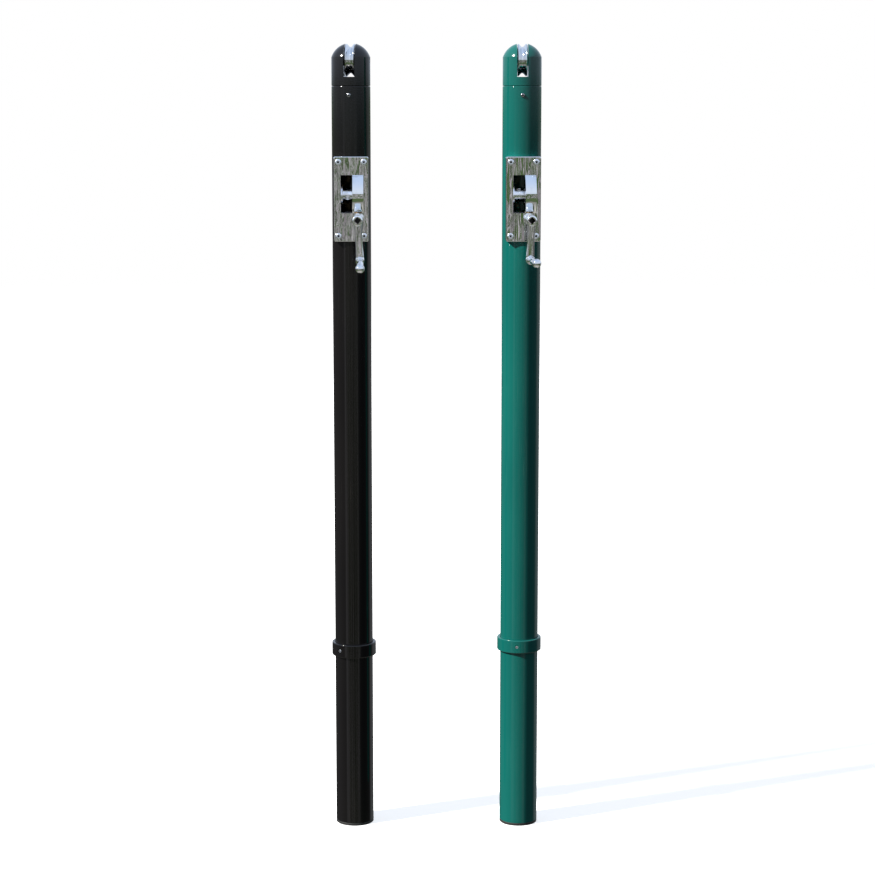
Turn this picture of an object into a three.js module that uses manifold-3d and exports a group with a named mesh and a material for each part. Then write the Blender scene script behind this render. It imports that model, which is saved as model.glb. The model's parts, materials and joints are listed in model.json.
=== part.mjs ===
// Pair of steel net posts with an internal cable winch in each: one black, one green.
// Millimetres, +Z up. The origin is the centre of the black post's foot; -Y is the winch side.
import * as THREE from 'three';
import { mergeVertices } from 'three/addons/utils/BufferGeometryUtils.js';
import Module from 'manifold-3d';

const wasm = await Module();
wasm.setup();

// Overall
const postSpacing = 321;
const tubeTop = 1430;
const tubeDiameter = 73;
const tubeWall = 3;

// Clearances between neighbours
const fitGap = 0.3;
const runningGap = 0.1;
const sideClearance = 0.6;

// Facets on round shapes
const postSides = 28;
const wheelSides = 24;
const journalSides = 18;
const smallSides = 8;

// Foot plug
const plugFlange = 5;
const plugSpigot = 26;
const plugWall = 3;

// Cap, heights above the tube's top
const capShoulder = 53;
const domeHeight = 27;
const capWall = 4;
const capSpigot = 38;
const slotWidth = 21;
const slotFloor = 17;
const slotFloorThickness = 5;
const cheekWall = 4;
const seamChamfer = 1.2;
const capLipChamfer = 0.8;
const domeSteps = 4;

// Sheave and its pin
const sheaveRadius = 30;
const sheaveWidth = 18;
const sheaveFloorGap = 1.2;
const grooveRootRadius = 24.5;
const grooveRootWidth = 4;
const rimLand = 1.4;
const rimChamfer = 1;
const pinRadius = 5;
const pinRecess = 0.7;
const washerRadius = 11;
const cableHoleWidth = 12;
const cableHoleLength = 16;

// Cap screws
const capScrewDrop = 16.7;
const capScrewRadius = 2.5;
const capScrewHeadRadius = 3.9;
const capScrewHeadHeight = 2.2;
const capScrewLength = 7.5;
const capScrewSocket = 1.5;
const buttonShoulderShare = 0.4;
const buttonCrownShare = 0.6;

// Winch plate, placed from its centre
const plateTopBelowSeam = 130;
const plateWidth = 65.6;
const plateHeight = 158.5;
const saddleWall = 4.2;
const plateWall = 4;
const plateSideDepth = 23;
const plateEdge = 2.5;
const plateScrewX = 24;
const plateScrewZ = 69;
const plateScrewRadius = 3;
const plateScrewHeadRadius = 5.6;
const plateScrewConeDepth = 2.6;
const plateScrewHeadRise = 1.1;
const plateScrewReach = 21;
const plateScrewSocket = 2;
const windowWidth = 22.1;
const windowOffset = 2.6;

// Bracket inside the post
const cheekOuterX = 27;
const bracketWall = 3;
const bracketTopAboveShaft = 17;
const bridgeDepth = 8;
const bridgeTopAboveWorm = 11.5;
const bridgeBottomBelowWorm = 11;
const bridgeRearFromBore = 4;
const cutoutMargin = 0.8;
const cutoutTopAboveWheel = 3;
const pocketInset = 1;

// Worm wheel and worm
const gearModule = 2.5;
const wheelTeeth = 28;
const wheelWidth = 10;
const wheelX = 12.5;
const wheelHubRadius = 11;
const wheelRearClearance = 4.7;
const wormPitchRadius = 10;
const addendumShare = 0.88;
const dedendumShare = 1.12;
const toothShare = 0.42;
const flankAngle = THREE.MathUtils.degToRad(20);
const wormTurns = 3;
const wormStepsPerTurn = 12;
const shaftHeight = 7;

// Gear cover on the plate
const coverClearance = 4.8;
const coverWall = 3;
const coverWidth = 20.5;
const coverAboveShaft = 2.3;
const coverSideWall = 2.5;

// Cable drum, shaft and bushes
const drumFlangeRadius = 20.5;
const drumFlangeWidth = 3.8;
const drumCoreRadius = 12.5;
const drumLeftX = -20;
const drumRightX = 6.2;
const drumHoleRadius = 4;
const drumHoleDepth = 5;
const shaftRadius = 6;
const bushWall = 2;
const bushFlangeLip = 1.5;
const bushFlangeWidth = 2;
const bushStandOut = 0.4;

// Worm shaft
const wormFrontJournal = 6;
const wormRearJournal = 5;
const wormRearBushWall = 2.5;
const wormBushFlangeLip = 1.8;
const squareSide = 9.2;
const squareEndInset = 20;

// Crank
const hubRadius = 9.8;
const hubPlateGap = 2;
const hubNose = 3;
const hubChamfer = 1.4;
const hubRelief = 1;
const armThickness = 12;
const armCoverGap = 5.7;
const armThrow = 73;
const armHubWidth = 16.2;
const armWaistWidth = 13.6;
const armBossRadius = 8;
const armBevel = 1.2;

// Grip
const gripPinRadius = 3;
const gripPinHeadRadius = 4.8;
const gripPinHeadHeight = 1.6;
const gripPinDepth = 34;
const gripStandOff = 2.6;
const gripReach = 54;
const ballRadius = 8.7;
const gripCollarRadius = 8;
const gripCollarWidth = 4;
const gripNeckRadius = 5;
const gripBellyRadius = 6.4;
const ballSteps = 4;

// Ground collar
const collarWall = 5.85;
const collarHeight = 25.4;
const collarFit = 0.5;
const collarChamfer = 1.8;
const collarScrewRadius = 3;
const collarScrewInset = 0.5;

// What differs between the two posts; angles in degrees, turned about +Z, +Y or +X
const posts = [
  {
    name: 'black', x: 0, coat: 0x141414, postTurn: 1, capTurn: -5.2,
    crankTurn: -3.2, gripDroop: 14, gripSide: 0, drumTurn: 24,
    collarMiddle: 350.4, collarTurn: -39.6,
  },
  {
    name: 'green', x: postSpacing, coat: 0x0b4a41, postTurn: 3.5, capTurn: -3.5,
    crankTurn: 2.5, gripDroop: 3, gripSide: 8, drumTurn: -58,
    collarMiddle: 360, collarTurn: -10.9,
  },
];

// Derived sizes
const tubeRadius = tubeDiameter / 2;
const boreRadius = tubeRadius - tubeWall;
const spigotRadius = boreRadius - fitGap;
const sheaveHeight = slotFloor + sheaveFloorGap + sheaveRadius;
const plateMiddle = tubeTop - plateTopBelowSeam - plateHeight / 2;
const saddleRadius = tubeRadius + fitGap;
const pitch = Math.PI * gearModule;
// Half of a tooth's thickness at a height above its pitch line
const toothHalf = (height) => toothShare * pitch / 2 - height * Math.tan(flankAngle);
const addendum = addendumShare * gearModule;
const dedendum = dedendumShare * gearModule;
const wheelPitchRadius = gearModule * wheelTeeth / 2;
const wheelTipRadius = wheelPitchRadius + addendum;
const wheelRootRadius = wheelPitchRadius - dedendum;
const wormTipRadius = wormPitchRadius + addendum;
const wormRootRadius = wormPitchRadius - dedendum;
const leadSlope = pitch / (2 * Math.PI * wormPitchRadius);
const boreAtWheel = Math.sqrt(boreRadius ** 2 - (wheelX + wheelWidth / 2) ** 2);
const shaftY = boreAtWheel - wheelRearClearance - wheelTipRadius;
const wormHeight = shaftHeight - wheelPitchRadius - wormPitchRadius;
const threadHalfLength = wormTurns * pitch / 2;
const threadFootHalf = toothHalf(-dedendum - fitGap);
// The plate stands on the tube's saddle, or farther out where the worm or the drum needs the room
const wormRoom = threadHalfLength + threadFootHalf + sideClearance + bushFlangeWidth + fitGap;
const drumRoom = drumFlangeRadius + sideClearance;
const innerRoom = Math.max(wormRoom, drumRoom) - shaftY;
const plateFront = -Math.max(saddleRadius + saddleWall, innerRoom + plateWall);
const plateBack = plateFront + plateWall;
const coverRadius = wheelTipRadius + coverClearance + coverWall;
const coverFront = shaftY - coverRadius;
const coverHeight = shaftHeight + coverAboveShaft;
const coverHalfHeight = Math.sqrt(coverRadius ** 2 - (plateFront - shaftY) ** 2);
const bracketFront = plateBack + fitGap;
const boreAtCheek = Math.sqrt(boreRadius ** 2 - cheekOuterX ** 2);
const bracketRear = boreAtCheek - bridgeRearFromBore;
const cutoutRear = Math.max(shaftY, bridgeRearFromBore - boreAtCheek);
const bracketBottom = wormHeight - bridgeBottomBelowWorm;
const pocketHalfWidth = cheekOuterX + sideClearance;
const cutoutHalfWidth = pocketHalfWidth + fitGap;
const cutoutBottom = Math.min(bracketBottom - pocketInset, wormHeight - wormTipRadius) - cutoutMargin;
const cutoutTop = shaftHeight + wheelTipRadius + cutoutTopAboveWheel;
const shaftBushRadius = shaftRadius + bushWall;
const shaftBushFlange = shaftBushRadius + bushFlangeLip;
const wormFrontBushRadius = wormFrontJournal + bushWall;
const wormRearBushRadius = wormRearJournal + wormRearBushWall;
const wormBushFlange = wormFrontBushRadius + wormBushFlangeLip;
const hubRear = plateFront - hubPlateGap;
const armRear = Math.min(coverFront, plateFront) - armCoverGap;
const armMiddle = armRear - armThickness / 2;
const hubFront = armRear - armThickness - hubNose;
const wormFrontBushEnd = plateFront - bushStandOut;
const collarInner = tubeRadius + collarFit;
const collarRadius = collarInner + collarWall;

const metal = (color, roughness) => new THREE.MeshStandardMaterial({ color, roughness, metalness: 1 });
const chrome = () => metal(0xdfe3e6, 0.06);
const steel = () => metal(0xa6a8aa, 0.35);
const bronze = () => metal(0xb08a4e, 0.4);
const paint = (color) => new THREE.MeshStandardMaterial({ color, roughness: 0.2, metalness: 0 });
const plastic = () => new THREE.MeshStandardMaterial({ color: 0x1b1b1b, roughness: 0.6, metalness: 0 });

// Directions that a shape drawn along local +Z can be turned to
const unitX = new THREE.Vector3(1, 0, 0);
const unitY = new THREE.Vector3(0, 1, 0);
const unitZ = new THREE.Vector3(0, 0, 1);
const toX = new THREE.Matrix4().makeBasis(unitY, unitZ, unitX);
const toY = new THREE.Matrix4().makeBasis(unitZ, unitX, unitY);
const toFront = new THREE.Matrix4().makeBasis(unitX, unitZ, unitY.clone().negate());

const radians = THREE.MathUtils.degToRad;

function toSolid(geometry) {
  const bare = geometry.clone();
  bare.deleteAttribute('normal');
  bare.deleteAttribute('uv');
  const merged = mergeVertices(bare, 1e-4);
  const corners = merged.index.array;
  const kept = [];
  for (let i = 0; i < corners.length; i += 3) {
    const [a, b, c] = [corners[i], corners[i + 1], corners[i + 2]];
    if (a !== b && b !== c && c !== a) kept.push(a, b, c);
  }
  return new wasm.Manifold(new wasm.Mesh({
    numProp: 3,
    vertProperties: new Float32Array(merged.attributes.position.array),
    triVerts: new Uint32Array(kept),
  }));
}

function fromSolid(solid) {
  const mesh = solid.getMesh();
  const geometry = new THREE.BufferGeometry();
  geometry.setAttribute('position', new THREE.BufferAttribute(mesh.vertProperties, 3));
  geometry.setIndex(new THREE.BufferAttribute(mesh.triVerts, 1));
  return geometry;
}

const join = (...pieces) => fromSolid(pieces.map(toSolid).reduce((all, next) => all.add(next)));

function cut(body, ...tools) {
  return fromSolid(tools.map(toSolid).reduce((rest, tool) => rest.subtract(tool), toSolid(body)));
}

const common = (one, other) => fromSolid(toSolid(one).intersect(toSolid(other)));

// A shape turned about local Z from [radius, height] points, upwards along its outside
function turned(profile, sides) {
  const points = profile.map(([radius, height]) => new THREE.Vector2(radius, height));
  return new THREE.LatheGeometry(points, sides).rotateX(Math.PI / 2);
}

const rod = (radius, low, high, sides) => turned([[0, low], [radius, low], [radius, high], [0, high]], sides);

function ring(inner, outer, low, high, sides) {
  return turned([[inner, low], [outer, low], [outer, high], [inner, high], [inner, low]], sides);
}

function block(x0, x1, y0, y1, z0, z1) {
  const box = new THREE.BoxGeometry(x1 - x0, y1 - y0, z1 - z0);
  return box.translate((x0 + x1) / 2, (y0 + y1) / 2, (z0 + z1) / 2);
}

const hexSocket = (acrossFlats, low, high) => {
  const radius = acrossFlats / Math.sqrt(3);
  const prism = new THREE.CylinderGeometry(radius, radius, high - low, 6);
  return prism.rotateX(Math.PI / 2).translate(0, 0, (low + high) / 2);
};

function place(parent, name, geometry, material, x = 0, y = 0, z = 0) {
  const mesh = new THREE.Mesh(geometry, material);
  mesh.name = name;
  mesh.position.set(x, y, z);
  parent.add(mesh);
  return mesh;
}

function subgroup(parent, x, y, z) {
  const group = new THREE.Group();
  group.position.set(x, y, z);
  parent.add(group);
  return group;
}

// Steel tube: screw holes for cap and plate, opening for the winch, chamfered top edge
function tubeShape(capTurn) {
  const outer = turned([
    [0, plugFlange + fitGap], [tubeRadius, plugFlange + fitGap], [tubeRadius, tubeTop - seamChamfer],
    [tubeRadius - seamChamfer, tubeTop], [0, tubeTop],
  ], postSides);
  const bore = rod(boreRadius, 0, tubeTop + 1, postSides);
  const opening = block(
    -cutoutHalfWidth, cutoutHalfWidth, -2 * tubeRadius, cutoutRear,
    plateMiddle + cutoutBottom, plateMiddle + cutoutTop,
  );
  const capHole = rod(capScrewRadius + fitGap, -2 * tubeRadius, 2 * tubeRadius, smallSides)
    .applyMatrix4(toY).rotateZ(radians(capTurn)).translate(0, 0, tubeTop - capScrewDrop);
  const plateHoles = plateScrewPlaces().map(({ x, z }) => rod(
    plateScrewRadius + fitGap, -2 * tubeRadius, 0, smallSides,
  ).applyMatrix4(toY).translate(x, 0, plateMiddle + z));
  return cut(outer, bore, opening, capHole, ...plateHoles);
}

function plateScrewPlaces() {
  return [
    { corner: 'top_left', x: -plateScrewX, z: plateScrewZ },
    { corner: 'top_right', x: plateScrewX, z: plateScrewZ },
    { corner: 'bottom_left', x: -plateScrewX, z: -plateScrewZ },
    { corner: 'bottom_right', x: plateScrewX, z: -plateScrewZ },
  ];
}

// Plastic plug: a flange under the tube's end and a hollow spigot inside it
function footPlugShape() {
  return turned([
    [0, 0], [tubeRadius, 0], [tubeRadius, plugFlange], [spigotRadius, plugFlange],
    [spigotRadius, plugFlange + plugSpigot], [spigotRadius - plugWall, plugFlange + plugSpigot],
    [spigotRadius - plugWall, plugFlange], [0, plugFlange],
  ], postSides);
}

// Points of a spherical dome over a rim, from the rim up to the apex on the axis
function domePoints(rimRadius, rimHeight, rise) {
  const radius = (rimRadius ** 2 + rise ** 2) / (2 * rise);
  const centre = rimHeight + rise - radius;
  const start = Math.atan2(rimHeight - centre, rimRadius);
  const points = [];
  for (let step = 0; step < domeSteps; step += 1) {
    const angle = start + (Math.PI / 2 - start) * step / domeSteps;
    points.push([radius * Math.cos(angle), centre + radius * Math.sin(angle)]);
  }
  points.push([0, rimHeight + rise]);
  return points;
}

// Domed casting with a slot for the sheave, cored out from below on both sides of the slot
function capShape() {
  const outer = turned([
    [0, -capSpigot], [spigotRadius, -capSpigot], [spigotRadius, fitGap],
    [tubeRadius - capLipChamfer, fitGap], [tubeRadius, fitGap + capLipChamfer],
    ...domePoints(tubeRadius, capShoulder, domeHeight),
  ], postSides);
  const core = turned([
    [0, -capSpigot - 1], [spigotRadius - capWall, -capSpigot - 1], [spigotRadius - capWall, capWall],
    ...domePoints(spigotRadius - capWall, capShoulder, domeHeight - capWall),
  ], postSides);
  const cheekX = slotWidth / 2 + cheekWall;
  const slotBlock = block(
    -cheekX, cheekX, -tubeRadius, tubeRadius, slotFloor - slotFloorThickness, 2 * tubeTop,
  );
  const slot = block(-slotWidth / 2, slotWidth / 2, -2 * tubeRadius, 2 * tubeRadius, slotFloor, 2 * tubeTop);
  const pinHole = rod(pinRadius + fitGap, -2 * tubeRadius, 2 * tubeRadius, journalSides)
    .applyMatrix4(toX).translate(0, 0, sheaveHeight);
  const holeFront = -(spigotRadius - capWall);
  const cableHole = block(
    -cableHoleWidth / 2, cableHoleWidth / 2, holeFront, holeFront + cableHoleLength,
    slotFloor - slotFloorThickness - 1, slotFloor + 1,
  );
  const screwHole = rod(capScrewRadius + fitGap, -2 * tubeRadius, 2 * tubeRadius, smallSides)
    .applyMatrix4(toY).translate(0, 0, -capScrewDrop);
  return cut(outer, cut(core, slotBlock), slot, pinHole, cableHole, screwHole);
}

// Grooved pulley wheel turned about local Z
function sheaveShape() {
  const bore = pinRadius + runningGap;
  const side = sheaveWidth / 2;
  const land = side - rimChamfer;
  const lip = land - rimLand;
  const root = grooveRootWidth / 2;
  return turned([
    [bore, -side], [sheaveRadius - rimChamfer, -side], [sheaveRadius, -land], [sheaveRadius, -lip],
    [grooveRootRadius, -root], [grooveRootRadius, root], [sheaveRadius, lip], [sheaveRadius, land],
    [sheaveRadius - rimChamfer, side], [bore, side], [bore, -side],
  ], wheelSides).applyMatrix4(toX);
}

// Small domed screw with a hexagon socket, its head's underside at local zero
function buttonScrewShape() {
  const shoulder = capScrewHeadHeight * buttonShoulderShare;
  const crown = capScrewHeadRadius * buttonCrownShare;
  const blank = turned([
    [0, -capScrewLength], [capScrewRadius, -capScrewLength], [capScrewRadius, 0], [capScrewHeadRadius, 0],
    [capScrewHeadRadius, shoulder], [crown, capScrewHeadHeight], [0, capScrewHeadHeight],
  ], smallSides);
  const bottom = capScrewHeadHeight - capScrewSocket;
  return cut(blank, hexSocket(2 * capScrewSocket, bottom, capScrewHeadHeight + 1));
}

// Outline of a countersunk screw, grown by a gap for the hole that takes it
function countersunkProfile(gap, tail, top) {
  return [
    [0, tail], [plateScrewRadius + gap, tail], [plateScrewRadius + gap, -plateScrewConeDepth],
    [plateScrewHeadRadius + gap, -plateScrewConeDepth + plateScrewHeadRadius - plateScrewRadius],
    [plateScrewHeadRadius + gap, top], [0, top],
  ];
}

function plateScrewShape() {
  const blank = turned(countersunkProfile(0, -plateScrewReach, plateScrewHeadRise), smallSides);
  const socket = hexSocket(
    2 * plateScrewSocket, plateScrewHeadRise - plateScrewSocket, plateScrewHeadRise + 1,
  );
  return cut(blank, socket).applyMatrix4(toFront);
}

// Chromed casting: saddle on the round tube, window on the drum, arched cover over the wheel
function winchPlateShape() {
  const outline = new THREE.Shape();
  const [halfWidth, halfHeight] = [plateWidth / 2 - plateEdge, plateHeight / 2 - plateEdge];
  outline.moveTo(-halfWidth, -halfHeight);
  outline.lineTo(halfWidth, -halfHeight);
  outline.lineTo(halfWidth, halfHeight);
  outline.lineTo(-halfWidth, halfHeight);
  const slab = new THREE.ExtrudeGeometry(outline, {
    depth: plateSideDepth - 2 * plateEdge, bevelThickness: plateEdge, bevelSize: plateEdge, bevelSegments: 2,
  }).translate(0, 0, plateEdge).applyMatrix4(toFront).translate(0, plateFront + plateSideDepth, 0);
  const archLow = windowOffset;
  const archHigh = windowOffset + coverWidth;
  const arch = (radius, x0, x1) => rod(radius, x0, x1, 2 * wheelSides)
    .applyMatrix4(toX).translate(0, shaftY, coverHeight);
  const front = block(archLow - 1, archHigh + 1, coverFront - 1, plateFront + 1, -plateHeight, plateHeight);
  const cover = common(arch(coverRadius, archLow, archHigh), front);
  const hollow = arch(coverRadius - coverWall, archLow + coverSideWall, archHigh - coverSideWall);
  const saddle = rod(saddleRadius, -plateHeight, plateHeight, postSides);
  const pocket = block(
    -pocketHalfWidth, pocketHalfWidth, plateBack, 0, cutoutBottom + pocketInset, cutoutTop - pocketInset,
  );
  const window = block(
    windowOffset - windowWidth, windowOffset, plateFront - 1, 0,
    coverHeight - coverHalfHeight, coverHeight + coverHalfHeight,
  );
  const wormHole = rod(wormFrontBushRadius + fitGap, plateFront - 1, 0, journalSides)
    .applyMatrix4(toY).translate(wheelX, 0, wormHeight);
  const relief = rod(hubRadius + hubRelief, hubFront, hubRear + fitGap, journalSides)
    .applyMatrix4(toY).translate(wheelX, 0, wormHeight);
  const screwHoles = plateScrewPlaces().map(({ x, z }) => turned(
    countersunkProfile(fitGap, -2 * plateSideDepth, 1), smallSides,
  ).applyMatrix4(toFront).translate(x, plateFront, z));
  return cut(join(slab, cover), hollow, saddle, pocket, window, wormHole, relief, ...screwHoles);
}

// Two cheeks that carry the drum shaft, joined low down by a bridge that carries the worm
function bracketShape() {
  const top = shaftHeight + bracketTopAboveShaft;
  const cheek = (x0, x1) => block(x0, x1, bracketFront, bracketRear, bracketBottom, top);
  const bridge = block(
    -cheekOuterX, cheekOuterX, bracketRear - bridgeDepth, bracketRear,
    bracketBottom, wormHeight + bridgeTopAboveWorm,
  );
  const shaftHole = rod(shaftBushRadius + fitGap, -2 * cheekOuterX, 2 * cheekOuterX, journalSides)
    .applyMatrix4(toX).translate(0, shaftY, shaftHeight);
  const wormHole = rod(
    wormRearBushRadius + fitGap, bracketRear - bridgeDepth - 1, bracketRear + 1, journalSides,
  )
    .applyMatrix4(toY).translate(wheelX, 0, wormHeight);
  const wormRelief = rod(
    wormTipRadius + sideClearance, bracketFront - 1, bracketRear - bridgeDepth, journalSides,
  )
    .applyMatrix4(toY).translate(wheelX, 0, wormHeight);
  return cut(
    join(
      cheek(-cheekOuterX, bracketWall - cheekOuterX), cheek(cheekOuterX - bracketWall, cheekOuterX), bridge,
    ),
    shaftHole, wormHole, wormRelief,
  );
}

// Cable drum with two flanges and a hole that takes the cable's end
function drumShape() {
  const bore = shaftRadius + fitGap;
  const body = turned([
    [bore, drumLeftX], [drumFlangeRadius, drumLeftX], [drumFlangeRadius, drumLeftX + drumFlangeWidth],
    [drumCoreRadius, drumLeftX + drumFlangeWidth], [drumCoreRadius, drumRightX - drumFlangeWidth],
    [drumFlangeRadius, drumRightX - drumFlangeWidth], [drumFlangeRadius, drumRightX], [bore, drumRightX],
    [bore, drumLeftX],
  ], wheelSides).applyMatrix4(toX);
  const middle = (drumLeftX + drumRightX) / 2;
  const cableHole = rod(drumHoleRadius, drumCoreRadius - drumHoleDepth, drumFlangeRadius, smallSides)
    .applyMatrix4(toFront).translate(middle, 0, 0);
  return cut(body, cableHole);
}

// Worm wheel: straight-sided teeth, each twisted to follow the worm's thread, and a hub
function wormWheelShape() {
  const outline = new THREE.Shape();
  for (let tooth = 0; tooth < wheelTeeth; tooth += 1) {
    const middle = 2 * Math.PI * tooth / wheelTeeth - Math.PI / 2;
    const corners = [
      [wheelRootRadius, -toothHalf(-dedendum)], [wheelTipRadius, -toothHalf(addendum)],
      [wheelTipRadius, toothHalf(addendum)], [wheelRootRadius, toothHalf(-dedendum)],
    ];
    corners.forEach(([radius, offset], index) => {
      const angle = middle + offset / radius;
      const [x, y] = [radius * Math.cos(angle), radius * Math.sin(angle)];
      if (tooth === 0 && index === 0) outline.moveTo(x, y);
      else outline.lineTo(x, y);
    });
  }
  const rim = new THREE.ExtrudeGeometry(outline, { depth: wheelWidth, steps: 1, bevelEnabled: false })
    .translate(0, 0, -wheelWidth / 2);
  const corner = new THREE.Vector3();
  const places = rim.attributes.position;
  for (let i = 0; i < places.count; i += 1) {
    corner.fromBufferAttribute(places, i);
    corner.applyAxisAngle(unitZ, corner.z * leadSlope / wheelPitchRadius);
    places.setXYZ(i, corner.x, corner.y, corner.z);
  }
  const hub = rod(
    wheelHubRadius, drumRightX + fitGap - wheelX, wheelWidth / 2 + sideClearance, journalSides,
  );
  const bore = rod(shaftRadius + fitGap, -wheelX, wheelX, journalSides);
  return cut(join(rim, hub), bore).applyMatrix4(toX);
}

// Helix at the worm's pitch radius whose section stays square to the radius
class ThreadHelix extends THREE.Curve {
  constructor(middleHeight) {
    super();
    this.middleHeight = middleHeight;
  }

  angle(t) {
    return (t - 0.5) * wormTurns * 2 * Math.PI - Math.PI;
  }

  getPoint(t, target = new THREE.Vector3()) {
    const angle = this.angle(t);
    const height = this.middleHeight + pitch / 2 + pitch * angle / (2 * Math.PI);
    return target.set(wormPitchRadius * Math.cos(angle), wormPitchRadius * Math.sin(angle), height);
  }

  computeFrenetFrames(segments) {
    const frames = { tangents: [], normals: [], binormals: [] };
    for (let i = 0; i <= segments; i += 1) {
      const angle = this.angle(i / segments);
      const outward = new THREE.Vector3(Math.cos(angle), Math.sin(angle), 0);
      const along = new THREE.Vector3(-Math.sin(angle), Math.cos(angle), leadSlope).normalize();
      frames.tangents.push(along);
      frames.normals.push(outward);
      frames.binormals.push(new THREE.Vector3().crossVectors(along, outward));
    }
    return frames;
  }
}

// Worm: one right-hand thread, a journal at each end and a square end for the crank
function wormShape(crankTurn) {
  const coreFront = shaftY - threadHalfLength - bushFlangeWidth;
  const coreRear = bracketRear - bridgeDepth - 2 * bushFlangeWidth;
  const shaft = turned([
    [0, hubRear + fitGap], [wormFrontJournal, hubRear + fitGap], [wormFrontJournal, coreFront],
    [wormRootRadius, coreFront], [wormRootRadius, coreRear], [wormRearJournal, coreRear],
    [wormRearJournal, bracketRear + bushStandOut], [0, bracketRear + bushStandOut],
  ], journalSides);
  const section = new THREE.Shape();
  const foot = -dedendum - fitGap;
  section.moveTo(foot, -toothHalf(foot));
  section.lineTo(addendum, -toothHalf(addendum));
  section.lineTo(addendum, toothHalf(addendum));
  section.lineTo(foot, toothHalf(foot));
  const thread = new THREE.ExtrudeGeometry(section, {
    steps: Math.round(wormTurns * wormStepsPerTurn), extrudePath: new ThreadHelix(shaftY),
  });
  const squareEnd = hubFront + squareEndInset;
  const square = block(
    -squareSide / 2, squareSide / 2, -squareSide / 2, squareSide / 2, squareEnd, hubRear + 1,
  )
    .rotateZ(Math.PI / 4 + radians(crankTurn));
  const turnedEnd = rod(wormFrontJournal, squareEnd - 1, hubRear + 1, journalSides);
  return join(shaft, thread, common(square, turnedEnd)).applyMatrix4(toY);
}

// Flanged bush along local Z: the body spans low to high, the flange sits below low
function bushShape(bore, radius, flangeRadius, low, high) {
  return turned([
    [bore, low - bushFlangeWidth], [flangeRadius, low - bushFlangeWidth], [flangeRadius, low], [radius, low],
    [radius, high], [bore, high], [bore, low - bushFlangeWidth],
  ], journalSides);
}

// Crank: hub with a square socket, waisted arm and a boss for the grip's pin, hanging down
function crankShape(gripDroop, gripSide) {
  const outline = new THREE.Shape();
  const inset = armBevel;
  const hubHalf = armHubWidth / 2 - inset;
  const waistHalf = armWaistWidth / 2 - inset;
  const bossHalf = armBossRadius - inset;
  outline.moveTo(-hubHalf, 0);
  outline.quadraticCurveTo(-waistHalf, -armThrow / 2, -bossHalf, -armThrow);
  outline.absarc(0, -armThrow, bossHalf, Math.PI, 2 * Math.PI, false);
  outline.quadraticCurveTo(waistHalf, -armThrow / 2, hubHalf, 0);
  const arm = new THREE.ExtrudeGeometry(outline, {
    depth: armThickness - 2 * inset, curveSegments: 8,
    bevelThickness: inset, bevelSize: inset, bevelSegments: 1,
  }).translate(0, 0, inset).applyMatrix4(toFront).translate(0, armRear, 0);
  const hub = turned([
    [0, hubFront], [hubRadius - hubChamfer, hubFront], [hubRadius, hubFront + hubChamfer],
    [hubRadius, hubRear - hubChamfer], [hubRadius - hubChamfer, hubRear], [0, hubRear],
  ], journalSides).applyMatrix4(toY);
  const socketHalf = squareSide / 2 + fitGap;
  const socket = block(-socketHalf, socketHalf, -socketHalf, socketHalf, hubFront - 1, hubRear + 1)
    .rotateZ(Math.PI / 4).applyMatrix4(toY);
  const pinHole = rod(gripPinRadius + fitGap, -armThickness, armThickness, smallSides)
    .applyMatrix4(toFront).rotateX(radians(gripDroop)).rotateZ(radians(gripSide))
    .translate(0, armMiddle, -armThrow);
  return cut(join(arm, hub), socket, pinHole);
}

// Pin on which the grip turns: riveted head behind the arm, plain shank in front
function gripPinShape() {
  const rear = -armThickness / 2 - gripStandOff;
  return turned([
    [0, rear - gripPinHeadHeight], [gripPinHeadRadius, rear - gripPinHeadHeight], [gripPinHeadRadius, rear],
    [gripPinRadius, rear],
    [gripPinRadius, armThickness / 2 + gripPinDepth], [0, armThickness / 2 + gripPinDepth],
  ], smallSides).applyMatrix4(toFront);
}

// Turned grip with a collar, a waisted body and a ball on its end
function gripShape() {
  const bore = gripPinRadius / Math.cos(Math.PI / smallSides) + runningGap;
  const start = armThickness / 2 + gripStandOff;
  const collarEnd = start + gripCollarWidth;
  const bodyEnd = gripReach - ballRadius;
  const neckAngle = Math.acos(gripNeckRadius / ballRadius);
  const ball = [];
  for (let step = 0; step < ballSteps; step += 1) {
    const angle = -neckAngle + (Math.PI / 2 + neckAngle) * step / ballSteps;
    ball.push([ballRadius * Math.cos(angle), gripReach + ballRadius * Math.sin(angle)]);
  }
  return turned([
    [bore, start], [gripCollarRadius, start], [gripCollarRadius, collarEnd], [gripNeckRadius, collarEnd],
    [gripBellyRadius, (collarEnd + bodyEnd) / 2], ...ball, [0, gripReach + ballRadius],
    [0, armThickness / 2 + gripPinDepth + fitGap],
    [bore, armThickness / 2 + gripPinDepth + fitGap], [bore, start],
  ], journalSides).applyMatrix4(toFront);
}

// Ring that rests on the ground sleeve's lid and sets how deep the post stands in it
function collarShape() {
  const edge = collarHeight / 2;
  const body = turned([
    [collarInner, -edge], [collarRadius - collarChamfer, -edge], [collarRadius, collarChamfer - edge],
    [collarRadius, edge - collarChamfer], [collarRadius - collarChamfer, edge], [collarInner, edge],
    [collarInner, -edge],
  ], postSides);
  const hole = rod(collarScrewRadius + fitGap, 0, 2 * collarRadius, smallSides).applyMatrix4(toFront);
  return cut(body, hole);
}

function collarScrewShape() {
  const start = tubeRadius + fitGap;
  const end = collarRadius - collarScrewInset;
  const blank = rod(collarScrewRadius, start, end, smallSides);
  return cut(blank, hexSocket(collarScrewRadius, end - collarScrewRadius, end + 1)).applyMatrix4(toFront);
}

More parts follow.
